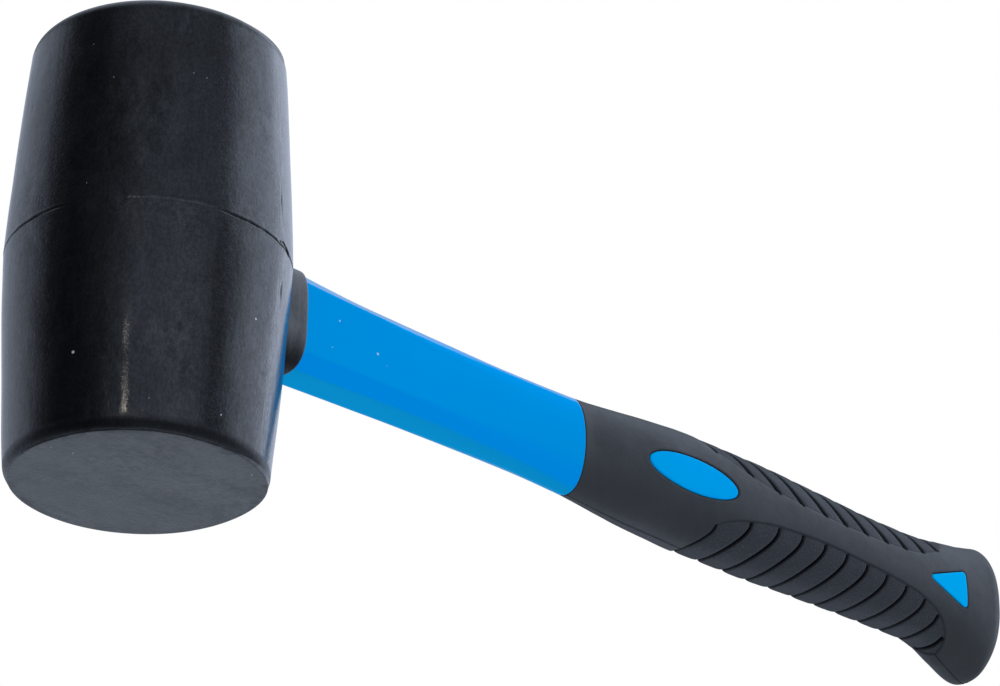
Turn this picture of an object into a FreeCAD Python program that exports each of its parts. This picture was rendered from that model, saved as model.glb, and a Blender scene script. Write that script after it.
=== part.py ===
"""Rubber mallet with a fibreglass-cored, two-colour moulded handle.

Frame: millimetres, +Z up along the head's axis, +X along the handle towards its butt,
+Y across the handle's thickness. The origin is the centre of the lower striking face, so the
head stands on z = 0 and the handle runs at z = HALF_LEN.
Handle stations give x from the head's axis and z from the head's parting plane.
"""
import FreeCAD, Part
import math
import os

Vector = FreeCAD.Vector
X_AXIS, Y_AXIS, Z_AXIS = Vector(1, 0, 0), Vector(0, 1, 0), Vector(0, 0, 1)

# ---------------------------------------------------------------- head
HEAD_R = 37.5           # radius at the parting plane
HALF_LEN = 61.7         # half the length from face to face
TAPER = 3.94            # how much the barrel draws in from parting plane to face plane
TAPER_POWER = 1.3       # how the barrel's side curves in
RIM_R = 3.3             # rounding of the rim around each striking face
SIDE_SPANS = 8          # spans of the side curve on each side of the parting plane
SEAM_R = 0.45           # section radius of the parting seam's groove
SEAM_OUT = 0.15         # the groove's centre line lies this far outside the barrel

# ---------------------------------------------------------------- eye and tenon
EYE = dict(half_y=7.9, half_z=13.6, radius=6.0)
TENON = dict(half_y=6.3, half_z=12.0, radius=4.6)
EYE_END_X = -24.0       # the eye is blind: it stops short of the barrel's far side
EYE_CUT_X = 45          # the eye's cutter runs out past the barrel to here
TENON_END_X = -21.0
TENON_OVERLAP = 6       # the tenon runs this far into the handle's full section
SLEEVE_END_X = -2.0     # the soft sleeve ends here and the adhesive bed starts
BED_CUT_X = 10          # the tenon cutter runs through the bed to here

# ---------------------------------------------------------------- handle
CORE_HALF_Y, CORE_HALF_Z = 4.7, 8.0
CORE_END_X = 320.0
SHOULDER_X = 40.5       # start of the handle's full section, behind the tenon
GRIP_X = 154.6          # start of the soft grip
BUTT_X = 340.4          # end of the handle
BUTT_R, BUTT_RZ = 8.0, 11.7   # rounding of the butt, along x and in height
BUTT_SIDE = 0.95        # draw-in across the thickness, as a share of BUTT_R
BUTT_START_X = BUTT_X - BUTT_R
BLEND_START_X, BLEND_END_X = 100.0, 172.0   # bevelled section eases into the grip's oval

NECK_XS = [SHOULDER_X, 45, 52, 60, 70, 80, 92, 104, 116, 128, 140, 148, GRIP_X]

# rigid jacket inside the grip
JACKET_END_X = 329.0
JACKET_ROUND = 4        # rounding of the jacket's end
ROUND_SHARE = 0.97      # share of that rounding's quarter arc used
GRIP_WALL_START, GRIP_WALL = 1.5, 2.3   # wall of the soft grip at GRIP_X and further on
WALL_RAMP = 20.0        # length over which the wall thickens
INNER_TOP_MAX, INNER_BOTTOM_MIN = 19.4, -15.2   # the jacket doesn't follow the flared butt
INNER_XS = [GRIP_X, 162, 170, 180, 195, 210, 230, 250, 270, 290, 305, 318,
            JACKET_END_X - JACKET_ROUND, JACKET_END_X - 1.5, JACKET_END_X]

# soft grip sections
GRIP_STEP = 7.5         # spacing of the sections
GRIP_LAST_GAP = 3       # least gap between a spaced section and the butt's rounding
BUTT_ANGLES = (18, 34, 48, 60, 70, 78, 84, 88)   # degrees around the butt's rounding

# neck collar: a soft-cornered rectangle
COLLAR_HALF_Y, COLLAR_TOP, COLLAR_BOTTOM, COLLAR_EXPONENT = 8.9, 15.5, -15.3, 3.6
COLLAR_END_X = 48.0
# x, how far the section is drawn in
COLLAR_SECTIONS = [
    (33.0, 0.0), (41.0, 0.0), (45.0, 0.0), (COLLAR_END_X - 1.2, 0.0),
    (COLLAR_END_X - 0.75, 0.08), (COLLAR_END_X - 0.35, 0.28), (COLLAR_END_X, 0.75),
]

# ---------------------------------------------------------------- inlays
INLAY_PROUD = 0.35      # inlays stand this far proud of the grip
OVAL_X, OVAL_Z, OVAL_HALF_X, OVAL_HALF_Z = 196.0, 1.25, 17.8, 5.6
TRIANGLE = [(300.2, 1.85), (319.4, 8.9), (319.4, -4.2)]   # x, z of corners before rounding
TRIANGLE_R = 1.2
WINDOW_HALF_Y = 30      # half length of the window cutters
HALF_BOX = (500, 40, 300)   # box that takes one side of the handle
HALF_BOX_Z = -50

# ---------------------------------------------------------------- handle stations
# x, top z
TOP = [
    (30, 16.0), (45, 14.8), (52, 14.27), (60, 13.75), (67, 13.4), (75, 13.25),
    (90, 13.3), (105, 13.48), (120, 13.84), (135, 14.42), (150, 15.17), (155, 15.47),
    (162, 16.0), (170, 16.74), (180, 17.58), (205, 18.84), (230, 19.1), (255, 18.5),
    (280, 17.8), (295, 17.95), (310, 19.1), (322, 21.1), (334, 23.8), (346, 25.9),
]
# x, bottom z
BOTTOM = [
    (30, -15.9), (45, -15.2), (52, -14.92), (60, -14.6), (67, -14.35), (75, -14.12),
    (90, -13.74), (105, -13.61), (120, -13.75), (135, -13.92), (150, -14.53), (155, -14.79),
    (162, -15.24), (170, -15.83), (180, -16.3), (205, -16.4), (230, -16.1), (255, -15.1),
    (280, -14.25), (295, -14.05), (305, -13.89), (314, -15.04), (322, -19.06), (330, -22.4),
    (338, -17.0), (346, -16.3),
]
# x, half thickness
THICKNESS = [
    (30, 8.1), (75, 8.0), (155, 7.8), (170, 9.3), (190, 11.4), (215, 12.2), (260, 12.2),
    (300, 12.0), (346, 11.9),
]
# x, z of the upper and of the lower edge of the flat cheek
CHEEK_UPPER = [
    (30, 10.9), (45, 10.4), (60, 10.0), (75, 9.7), (90, 9.2), (105, 8.9), (120, 8.6),
    (135, 8.6), (150, 8.9), (165, 9.2), (175, 9.4),
]
CHEEK_LOWER = [
    (30, -10.4), (45, -10.1), (66, -9.5), (83.5, -9.3), (103, -9.1), (129, -8.25),
    (151, -7.7), (165, -7.6), (175, -7.6),
]


# ---------------------------------------------------------------- curves along the handle
def monotone_cubic(table):
    """Function that interpolates the (x, value) table without overshoot."""
    xs, values = zip(*table)
    count = len(xs)
    steps = [xs[i + 1] - xs[i] for i in range(count - 1)]
    slopes = [(values[i + 1] - values[i]) / steps[i] for i in range(count - 1)]
    tangents = [0.0] * count
    tangents[0], tangents[-1] = slopes[0], slopes[-1]
    for i in range(1, count - 1):
        if slopes[i - 1] * slopes[i] > 0:
            before = 2 * steps[i] + steps[i - 1]
            after = steps[i] + 2 * steps[i - 1]
            tangents[i] = (before + after) / (before / slopes[i - 1] + after / slopes[i])

    def value_at(x):
        x = min(max(x, xs[0]), xs[-1])
        i = max(k for k in range(count - 1) if xs[k] <= x)
        t = (x - xs[i]) / steps[i]
        return ((1 + 2 * t) * (1 - t) ** 2 * values[i]
                + t * (1 - t) ** 2 * steps[i] * tangents[i]
                + t * t * (3 - 2 * t) * values[i + 1]
                + t * t * (t - 1) * steps[i] * tangents[i + 1])
    return value_at


top_at, bottom_at, half_thickness = map(monotone_cubic, (TOP, BOTTOM, THICKNESS))
cheek_upper, cheek_lower = map(monotone_cubic, (CHEEK_UPPER, CHEEK_LOWER))


def ease(start, end, x):
    """Smooth step from 0 at start to 1 at end."""
    t = min(max((x - start) / (end - start), 0.0), 1.0)
    return t * t * (3 - 2 * t)


def grip_exponent(x):
    return 2.12 + 0.18 * ease(155, 195, x)


def butt_ease(x, offset):
    """How far the butt's rounding has drawn in at x, from 0 to 1."""
    along = max(0.0, (x - BUTT_START_X) / (BUTT_R + offset))
    return 1 - math.sqrt(max(0.0, 1 - along ** 2))


# ---------------------------------------------------------------- handle sections, points (y, z)
def oval(half_y, top, bottom, exponent, count=32):
    """Superellipse between the top and bottom heights."""
    middle, half_z = (top + bottom) / 2, (top - bottom) / 2
    points = []
    for k in range(count):
        angle = 2 * math.pi * k / count
        cos, sin = math.cos(angle), math.sin(angle)
        y = half_y * math.copysign(abs(cos) ** (2 / exponent), cos)
        z = half_z * math.copysign(abs(sin) ** (2 / exponent), sin)
        points.append((y, middle + z))
    return points


def bevelled_corners(x, half_y, half_z, middle, offset):
    """Twelve corners of the bevelled section about its middle; every third is mid-face."""
    u = ease(60, 160, x)
    cheek_y = (half_y - offset) * (0.965 - 0.05 * u) + offset
    bevel_y = (half_y - offset) * 0.60 + 0.45 * offset
    bevel_z = (half_z - offset) * (0.975 - 0.03 * u) + offset
    upper = cheek_upper(x) - middle + 0.45 * offset
    lower = middle - cheek_lower(x) + 0.45 * offset
    crown_z = 0.3 * (upper - lower)
    return [
        (half_y, crown_z), (cheek_y, upper), (bevel_y, bevel_z),
        (0, half_z), (-bevel_y, bevel_z), (-cheek_y, upper),
        (-half_y, crown_z), (-cheek_y, -lower), (-bevel_y, -bevel_z),
        (0, -half_z), (bevel_y, -bevel_z), (cheek_y, -lower),
    ]


def towards(start, end, distance):
    share = distance / math.dist(start, end)
    return tuple(a + (b - a) * share for a, b in zip(start, end))


def soften(corners, corner_cut):
    """Replace each corner with four points of a parabola; mid-face corners get the widest."""
    points = []
    for i, corner in enumerate(corners):
        before, after = corners[i - 1], corners[(i + 1) % len(corners)]
        cut = 0.46 * min(math.dist(before, corner), math.dist(after, corner))
        if i % 3 != 0:
            cut = min(corner_cut, cut)
        start, end = towards(corner, before, cut), towards(corner, after, cut)
        for q in (0.0, 0.33, 0.67, 1.0):
            points.append(tuple(
                (1 - q) ** 2 * s + 2 * q * (1 - q) * c + q * q * e
                for s, c, e in zip(start, corner, end)))
    return points


def outside(x, offset=0.0):
    """The handle's outside at x, moved out by offset.

    Flat cheeks, bevelled corners and narrow faces near the head, an oval in the grip, and
    drawn in on every side at the butt.
    """
    drawn = butt_ease(x, offset)
    half_y = half_thickness(x) + offset - BUTT_R * BUTT_SIDE * drawn
    top = top_at(x) + offset - BUTT_RZ * drawn
    bottom = bottom_at(x) - offset + BUTT_RZ * drawn
    exponent = grip_exponent(x)
    blend = ease(BLEND_START_X, BLEND_END_X, x)
    if blend >= 1:
        return oval(half_y, top, bottom, exponent)

    middle, half_z = (top + bottom) / 2, (top - bottom) / 2
    corners = bevelled_corners(x, half_y, half_z, middle, offset)
    points = []
    for y, z in soften(corners, 1.2 + 2.4 * ease(60, 160, x)):
        radius, angle = math.hypot(y, z), math.atan2(z, y)
        oval_radius = ((abs(math.cos(angle)) / half_y) ** exponent
                       + (abs(math.sin(angle)) / half_z) ** exponent) ** (-1 / exponent)
        scale = ((1 - blend) * radius + blend * oval_radius) / radius
        points.append((y * scale, z * scale + middle))
    return points


# ---------------------------------------------------------------- shape helpers
def wire(x, points):
    """Closed smooth section across the handle at x."""
    curve = Part.BSplineCurve()
    curve.interpolate(Points=[Vector(x, y, z + HALF_LEN) for y, z in points],
                      PeriodicFlag=True)
    return Part.Wire(curve.toShape())


def loft(wires):
    solid = Part.makeLoft(wires, True, False)
    # a ruled loft stands in if the smooth one is invalid
    return solid if solid.isValid() else Part.makeLoft(wires, True, True)


def outside_loft(xs, offset=0.0):
    return loft([wire(x, outside(x, offset)) for x in xs])


def edges_along(shape, axis):
    return [e for e in shape.Edges
            if abs(abs(e.tangentAt(e.FirstParameter).dot(axis)) - 1) < 1e-6]


def rounded_prism(start_x, end_x, half_y, half_z, radius):
    box = Part.makeBox(end_x - start_x, 2 * half_y, 2 * half_z,
                       Vector(start_x, -half_y, HALF_LEN - half_z))
    return box.makeFillet(radius, edges_along(box, X_AXIS))


def export(name, shape):
    if shape.ShapeType == "Compound" and len(shape.Solids) == 1:
        shape = shape.Solids[0]
    assert shape.isValid() and shape.Volume > 0, name
    shape.exportStep("parts/%s.step" % name)


# ---------------------------------------------------------------- head pieces
def barrel_radius(z):
    """z from the parting plane."""
    return HEAD_R - TAPER * (abs(z) / HALF_LEN) ** TAPER_POWER


def make_barrel():
    """The head's outside as one turned solid."""
    rim_z = HALF_LEN - RIM_R
    rim_x = barrel_radius(rim_z)
    face_r = rim_x - RIM_R
    diagonal = RIM_R * math.sqrt(0.5)
    heights = [rim_z * k / SIDE_SPANS for k in range(SIDE_SPANS + 1)]

    def side(zs):
        curve = Part.BSplineCurve()
        curve.interpolate([Vector(barrel_radius(z), 0, z) for z in zs])
        return curve.toShape()

    def rim_points(sign):
        return [Vector(rim_x, 0, sign * rim_z),
                Vector(face_r + diagonal, 0, sign * (rim_z + diagonal)),
                Vector(face_r, 0, sign * HALF_LEN)]

    lower, upper = Vector(0, 0, -HALF_LEN), Vector(0, 0, HALF_LEN)
    edges = [
        Part.makeLine(lower, Vector(face_r, 0, -HALF_LEN)),
        Part.Arc(*reversed(rim_points(-1))).toShape(),
        side([-z for z in reversed(heights)]),
        side(heights),
        Part.Arc(*rim_points(1)).toShape(),
        Part.makeLine(Vector(face_r, 0, HALF_LEN), upper),
        Part.makeLine(upper, lower),
    ]
    profile = Part.Wire(Part.__sortEdges__(edges))
    solid = Part.Face(profile).revolve(Vector(0, 0, 0), Z_AXIS, 360)
    solid.translate(upper)
    return solid


def make_head(barrel):
    seam = Part.makeTorus(HEAD_R + SEAM_OUT, SEAM_R, Vector(0, 0, HALF_LEN), Z_AXIS)
    return barrel.cut(rounded_prism(EYE_END_X, EYE_CUT_X, **EYE)).cut(seam)


def make_adhesive():
    """Bed around and behind the end of the tenon."""
    return rounded_prism(EYE_END_X, SLEEVE_END_X, **EYE).cut(
        rounded_prism(TENON_END_X, BED_CUT_X, **TENON))


# ---------------------------------------------------------------- handle pieces
def make_core():
    """Rod with flat sides and round upper and lower edges."""
    length = CORE_END_X - TENON_END_X
    flat = CORE_HALF_Z - CORE_HALF_Y
    core = Part.makeBox(length, 2 * CORE_HALF_Y, 2 * flat,
                        Vector(TENON_END_X, -CORE_HALF_Y, HALF_LEN - flat))
    for side in (-1, 1):
        core = core.fuse(Part.makeCylinder(
            CORE_HALF_Y, length, Vector(TENON_END_X, 0, HALF_LEN + side * flat), X_AXIS))
    return core.removeSplitter()


def inner_section(x):
    """The jacket's section inside the grip, rounded off at its end."""
    along = max(0.0, x - (JACKET_END_X - JACKET_ROUND)) / JACKET_ROUND
    drawn = JACKET_ROUND * (1 - math.sqrt(max(0.0, 1 - (along * ROUND_SHARE) ** 2)))
    ramp = min(max((x - GRIP_X) / WALL_RAMP, 0), 1)
    inset = GRIP_WALL_START + (GRIP_WALL - GRIP_WALL_START) * ramp + drawn
    return wire(x, oval(half_thickness(x) - inset,
                        min(top_at(x), INNER_TOP_MAX) - inset,
                        max(bottom_at(x), INNER_BOTTOM_MIN) + inset,
                        grip_exponent(x)))


def make_handle_blank():
    """Tenon, neck and the part inside the grip, without the core's bore."""
    neck = outside_loft(NECK_XS)
    inner = loft([inner_section(x) for x in INNER_XS])
    tenon = rounded_prism(TENON_END_X, SHOULDER_X + TENON_OVERLAP, **TENON)
    return neck.fuse(inner).fuse(tenon)


def make_collar(barrel, blank):
    """Neck collar and eye sleeve, one soft moulding."""
    body = loft([
        wire(x, oval(COLLAR_HALF_Y - inset, COLLAR_TOP - inset, COLLAR_BOTTOM + inset,
                     COLLAR_EXPONENT, 48))
        for x, inset in COLLAR_SECTIONS])
    collar = body.cut(barrel)
    sleeve = rounded_prism(SLEEVE_END_X, SHOULDER_X, **EYE).common(barrel.fuse(body))
    return collar.fuse(sleeve).cut(blank).removeSplitter()


def grip_loft(offset=0.0):
    """The grip's outside, moved out by offset, in two lofts that meet where the blend ends."""
    xs = []
    x = GRIP_X
    while x < BUTT_START_X - GRIP_LAST_GAP:
        xs.append(x)
        x += GRIP_STEP
    xs.append(BUTT_START_X)
    xs += [BUTT_START_X + (BUTT_R + offset) * math.sin(math.radians(a)) for a in BUTT_ANGLES]
    first = [x for x in xs if x < BLEND_END_X] + [BLEND_END_X]
    rest = [BLEND_END_X] + [x for x in xs if x > BLEND_END_X + 0.5]
    return outside_loft(first, offset).fuse(outside_loft(rest, offset))


def make_oval_window():
    ellipse = Part.Ellipse(Vector(OVAL_X, -WINDOW_HALF_Y, OVAL_Z + HALF_LEN),
                           OVAL_HALF_X, OVAL_HALF_Z)
    ellipse.Axis = Y_AXIS
    ellipse.XAxis = X_AXIS
    face = Part.Face(Part.Wire(ellipse.toShape()))
    return face.extrude(Vector(0, 2 * WINDOW_HALF_Y, 0))


def make_triangle_window():
    points = [Vector(x, -WINDOW_HALF_Y, z + HALF_LEN) for x, z in TRIANGLE]
    face = Part.Face(Part.makePolygon(points + [points[0]]))
    prism = face.extrude(Vector(0, 2 * WINDOW_HALF_Y, 0))
    return prism.makeFillet(TRIANGLE_R, edges_along(prism, Y_AXIS))


# ---------------------------------------------------------------- build and export
os.makedirs("parts", exist_ok=True)
barrel = make_barrel()
blank = make_handle_blank()
core = make_core()
windows = {"oval_badge": make_oval_window(), "triangle_inlay": make_triangle_window()}

grip = grip_loft().cut(blank)
for window in windows.values():
    grip = grip.cut(window)

export("rubber_head", make_head(barrel))
export("eye_adhesive", make_adhesive())
export("neck_collar", make_collar(barrel, blank))
export("handle_jacket", blank.cut(core))
export("fibreglass_core", core)
export("grip_sleeve", grip)

# one pair of inlays on each cheek: left is -Y, right is +Y
proud = grip_loft(INLAY_PROUD)
for name, window in windows.items():
    inlays = window.common(proud).cut(blank)
    for side, start_y in (("left", -HALF_BOX[1]), ("right", 0)):
        half = Part.makeBox(*HALF_BOX, Vector(0, start_y, HALF_BOX_Z))
        export("%s_%s" % (name, side), inlays.common(half))
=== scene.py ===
"""Rubber mallet: the visual model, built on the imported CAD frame.

All tables are in millimetres, measured from the head's axis (x along the handle) and from the head's parting plane (z up).
Meshes are written in metres in the row frame.
"""
import math
import bpy
import numpy as np
from mathutils import Matrix, Vector


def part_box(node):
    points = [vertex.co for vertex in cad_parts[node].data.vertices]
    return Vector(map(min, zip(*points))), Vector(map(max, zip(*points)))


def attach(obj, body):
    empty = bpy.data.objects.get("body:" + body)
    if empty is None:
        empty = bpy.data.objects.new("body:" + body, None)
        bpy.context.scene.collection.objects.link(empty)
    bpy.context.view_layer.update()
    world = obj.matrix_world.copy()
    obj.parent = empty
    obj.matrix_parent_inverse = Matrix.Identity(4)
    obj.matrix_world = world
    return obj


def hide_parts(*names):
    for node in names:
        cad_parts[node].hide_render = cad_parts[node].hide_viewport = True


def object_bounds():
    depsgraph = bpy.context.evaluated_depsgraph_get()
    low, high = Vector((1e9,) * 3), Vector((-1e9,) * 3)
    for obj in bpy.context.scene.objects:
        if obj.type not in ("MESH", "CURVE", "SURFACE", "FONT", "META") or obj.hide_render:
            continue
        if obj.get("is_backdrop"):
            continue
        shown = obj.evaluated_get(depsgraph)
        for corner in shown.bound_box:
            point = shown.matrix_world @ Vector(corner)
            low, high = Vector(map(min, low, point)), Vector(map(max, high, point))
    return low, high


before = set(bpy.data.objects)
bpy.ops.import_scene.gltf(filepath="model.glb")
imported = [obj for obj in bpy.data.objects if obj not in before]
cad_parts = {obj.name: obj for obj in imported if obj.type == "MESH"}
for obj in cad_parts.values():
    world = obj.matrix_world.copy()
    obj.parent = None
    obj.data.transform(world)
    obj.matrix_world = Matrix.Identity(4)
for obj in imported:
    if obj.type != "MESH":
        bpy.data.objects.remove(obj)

_lo, _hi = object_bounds()
SIZE = {"cad": [list(_lo), list(_hi)]}

# ---------------------------------------------------------------- positions taken from the CAD
_hl, _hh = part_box("rubber_head")
ZC = (_hl.z + _hh.z) / 2                     # height of the parting plane, m
HALF = (_hh.z - _hl.z) / 2 * 1000            # half the head's length, mm
RMID = _hh.y * 1000                          # head radius at the parting plane, mm
_gl, _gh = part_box("grip_sleeve")
GRIP_X, BUTT_X = _gl.x * 1000, _gh.x * 1000  # start of the grip and end of the handle, mm
TENON_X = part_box("handle_jacket")[0].x * 1000
JACKET_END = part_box("handle_jacket")[1].x * 1000
COLLAR_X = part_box("neck_collar")[1].x * 1000
SLEEVE_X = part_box("neck_collar")[0].x * 1000
ADH_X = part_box("eye_adhesive")[0].x * 1000
EYE_X = ADH_X - 0.05                         # blind end of the head's eye, mm
CORE_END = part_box("fibreglass_core")[1].x * 1000

BUTT_R, BUTT_RZ = 8.0, 11.7
FACE_R, FACE_DIR = 31.7, (0.713, -0.701)      # struck face: radius in mm, and the way it has spread


def smooth(a, b, x):
    t = np.clip((np.asarray(x, float) - a) / (b - a), 0, 1)
    return t * t * (3 - 2 * t)


def pchip(xs, ys):
    xs, ys = np.array(xs, float), np.array(ys, float)
    h, d = np.diff(xs), np.diff(ys) / np.diff(xs)
    m = np.zeros(len(xs))
    m[0], m[-1] = d[0], d[-1]
    for i in range(1, len(xs) - 1):
        if d[i - 1] * d[i] > 0:
            w1, w2 = 2 * h[i] + h[i - 1], h[i] + 2 * h[i - 1]
            m[i] = (w1 + w2) / (w1 / d[i - 1] + w2 / d[i])

    def f(x):
        x = np.clip(np.asarray(x, float), xs[0], xs[-1])
        i = np.clip(np.searchsorted(xs, x, side="right") - 1, 0, len(h) - 1)
        t = (x - xs[i]) / h[i]
        return ((1 + 2 * t) * (1 - t) ** 2 * ys[i] + t * (1 - t) ** 2 * h[i] * m[i]
                + t * t * (3 - 2 * t) * ys[i + 1] + t * t * (t - 1) * h[i] * m[i + 1])
    return f


z_top = pchip([30, 45, 52, 60, 67, 75, 90, 105, 120, 135, 150, 155, 162, 170, 180, 205, 230, 255, 280, 295, 310, 322, 334, 346],
              [16.0, 14.8, 14.27, 13.75, 13.4, 13.25, 13.3, 13.48, 13.84, 14.42, 15.17, 15.47, 16.0, 16.74, 17.58, 18.84, 19.1, 18.5, 17.8, 17.95, 19.1, 21.1, 23.8, 25.9])
z_bot = pchip([30, 45, 52, 60, 67, 75, 90, 105, 120, 135, 150, 155, 162, 170, 180, 205, 230, 255, 280, 295, 305, 314, 322, 330, 338, 346],
              [-15.9, -15.2, -14.92, -14.6, -14.35, -14.12, -13.74, -13.61, -13.75, -13.92, -14.53, -14.79, -15.24, -15.83, -16.3, -16.4, -16.1, -15.1, -14.25,
               -14.05, -13.89, -15.04, -19.06, -22.4, -17.0, -16.3])
half_t = pchip([30, 75, 155, 170, 190, 215, 260, 300, 346], [8.1, 8.0, 7.8, 9.3, 11.4, 12.2, 12.2, 12.0, 11.9])
# upper and lower edge of the jacket's flat cheek
cheek_up = pchip([30, 45, 60, 75, 90, 105, 120, 135, 150, 165, 175], [10.9, 10.4, 10.0, 9.7, 9.2, 8.9, 8.6, 8.6, 8.9, 9.2, 9.4])
cheek_low = pchip([30, 45, 66, 83.5, 103, 129, 151, 165, 175], [-10.4, -10.1, -9.5, -9.3, -9.1, -8.25, -7.7, -7.6, -7.6])


# ---------------------------------------------------------------- small mesh kit
def noise3(p, size, seed, waves=28):
    """Smooth random field in about -1..1 with features of the given size, as a fixed sum of plane waves."""
    g = np.random.RandomState(seed)
    k = g.normal(size=(waves, 3))
    k /= np.linalg.norm(k, axis=1)[:, None]
    k *= (2 * np.pi / size) * g.uniform(0.55, 1.3, (waves, 1))
    ph = g.uniform(0, 2 * np.pi, waves)
    out = np.zeros(p.shape[:-1])
    for a, b in zip(k, ph):
        out += np.cos(p @ a + b)
    return out / math.sqrt(waves / 2.0) / 1.6


def tube_faces(n, m, first=0, flip=False):
    """Quads between n rings of m points."""
    i = np.arange(n - 1)[:, None] * m + first
    j = np.arange(m)[None, :]
    k = (j + 1) % m
    q = np.stack([i + j, i + m + j, i + m + k, i + k], -1).reshape(-1, 4)
    return q[:, ::-1] if flip else q


def fan_faces(ring, centre, m, flip=False):
    j = np.arange(m)
    k = (j + 1) % m
    t = np.stack([ring + j, ring + k, np.full(m, centre)], -1)
    return t[:, ::-1] if flip else t


def mesh_object(name, verts, faces, material, body="root", replaces=(), slot=None, sharp=None, attrs=None):
    me = bpy.data.meshes.new(name)
    v = np.array(verts, float) * 0.001
    v[:, 2] += ZC
    me.from_pydata(v.tolist(), [], [list(map(int, f)) for f in faces])
    me.validate()
    for key, values in (attrs or {}).items():
        at = me.attributes.new(key, "FLOAT", "POINT")
        at.data.foreach_set("value", np.array(values, np.float32))
    o = bpy.data.objects.new(name, me)
    bpy.context.scene.collection.objects.link(o)
    shade(me, sharp)
    me.materials.append(material)
    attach(o, body)
    if replaces:
        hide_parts(*replaces)
    return o


def shade(me, sharp):
    """Smooth shading with edges over the given angle left sharp."""
    me.polygons.foreach_set("use_smooth", np.ones(len(me.polygons), bool))
    if sharp:
        me.update()
        me.set_sharp_from_angle(angle=math.radians(sharp))
    me.update()


# ---------------------------------------------------------------- handle sections
def superellipse(ang, t, h, n):
    return ((np.abs(np.cos(ang)) / t) ** n + (np.abs(np.sin(ang)) / h) ** n) ** (-1.0 / n)


def profile(x, off=0.0):
    """Half thickness, centre and half height of the handle at x, moved out by off; the butt eases in."""
    zt, zb, t = float(z_top(x)), float(z_bot(x)), float(half_t(x))
    r = BUTT_R + off
    u = min(max((x - (BUTT_X - BUTT_R)) / r, 0.0), 1.0)
    k = 1 - math.sqrt(max(0.0, 1 - u * u))
    zt, zb, t = zt + off - BUTT_RZ * k, zb - off + BUTT_RZ * k, t + off - 0.95 * BUTT_R * k
    return t, (zt + zb) / 2, (zt - zb) / 2


def octagon(x, off=0.0, arc=7, side=5):
    """Ring of points (y, z from the section's centre): crowned cheeks, bevels and narrow faces, always the same count."""
    t, zc, h = profile(x, off)
    u = float(smooth(60, 160, x))
    ty, bt, hb = (t - off) * (0.965 - 0.05 * u) + off, (t - off) * 0.60 + off * 0.45, (h - off) * (0.975 - 0.03 * u) + off
    up, low = float(cheek_up(x)) - zc + 0.45 * off, zc - float(cheek_low(x)) + 0.45 * off
    mid = 0.3 * (up - low)
    poly = np.array([(t, mid), (ty, up), (bt, hb), (0, h), (-bt, hb), (-ty, up), (-t, mid), (-ty, -low), (-bt, -hb), (0, -h), (bt, -hb), (ty, -low)], float)
    n = len(poly)

    def corner(i):
        a, p, e = poly[(i - 1) % n], poly[i % n], poly[(i + 1) % n]
        la, le = np.linalg.norm(a - p), np.linalg.norm(e - p)
        c = 0.46 * min(la, le) if i % 3 == 0 else min(0.8 + 2.2 * u, 0.46 * min(la, le))
        return p + (a - p) * c / la, p, p + (e - p) * c / le
    pts = []
    for i in range(n):
        s0, p, s1 = corner(i)
        for w in np.linspace(0, 1, arc):
            pts.append((1 - w) ** 2 * s0 + 2 * w * (1 - w) * p + w * w * s1)
        s2 = corner(i + 1)[0]
        for w in np.linspace(0, 1, side + 2)[1:-1]:
            pts.append(s1 + (s2 - s1) * w)
    return np.array(pts), zc


def grip_n(x):
    return 2.12 + 0.18 * float(smooth(155, 195, x))


def ring(x, off=0.0):
    """The handle's outside at x: the octagon near the head eases into the grip's oval."""
    pts, zc = octagon(x, off)
    w = float(smooth(100, 172, x))
    if w > 0:
        t, zc, h = profile(x, off)
        ang = np.arctan2(pts[:, 1], pts[:, 0])
        r0 = np.hypot(pts[:, 0], pts[:, 1])
        r1 = superellipse(ang, t, h, grip_n(x))
        pts = pts * (((1 - w) * r0 + w * r1) / r0)[:, None]
    return pts, zc


def ring_xyz(x, off=0.0, at=None):
    pts, zc = ring(x, off)
    return np.column_stack([np.full(len(pts), x if at is None else at), pts[:, 0], pts[:, 1] + zc])


def oval_ring(x, like, t, h, n, zc=0.0):
    """A superellipse ring whose points lie in the same directions as the ring 'like'."""
    ang = np.arctan2(like[:, 1], like[:, 0])
    r = superellipse(ang, t, h, n)
    return np.column_stack([np.full(len(like), x), r * np.cos(ang), r * np.sin(ang) + zc])


_dense = {}


def dense(x):
    """The outside section at x as points from the underside round by -Y to the top, with arc length from the underside."""
    key = round(x, 4)
    if key not in _dense:
        q = np.linspace(1.5 * np.pi, 0.5 * np.pi, 721)      # underside -> -Y cheek -> top
        t, zc, h = profile(x)
        w = float(smooth(100, 172, x))
        rr = superellipse(q, t, h, grip_n(x))
        if w < 1:
            pts, zc = octagon(x, 0.0, 25, 25)
            ang = np.arctan2(pts[:, 1], pts[:, 0]) % (2 * np.pi)
            r = np.hypot(pts[:, 0], pts[:, 1])
            order = np.argsort(ang)
            a, r = ang[order], r[order]
            a, r = np.concatenate([a[-1:] - 2 * np.pi, a, a[:1] + 2 * np.pi]), np.concatenate([r[-1:], r, r[:1]])
            rr = (1 - w) * np.interp(q, a, r) + w * rr
        y, z = rr * np.cos(q), rr * np.sin(q) + zc
        s = np.concatenate([[0], np.cumsum(np.hypot(np.diff(y), np.diff(z)))])
        _dense[key] = (y, z, s)
    return _dense[key]


def arc_at(x, z):
    """Arc length from the underside to height z on the cheek."""
    y, zz, s = dense(x)
    return float(np.interp(z, zz, s))


def side_y(x, z):
    """The cheek's y (negative side) at height z."""
    y, zz, s = dense(x)
    return float(np.interp(z, zz, y))


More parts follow.
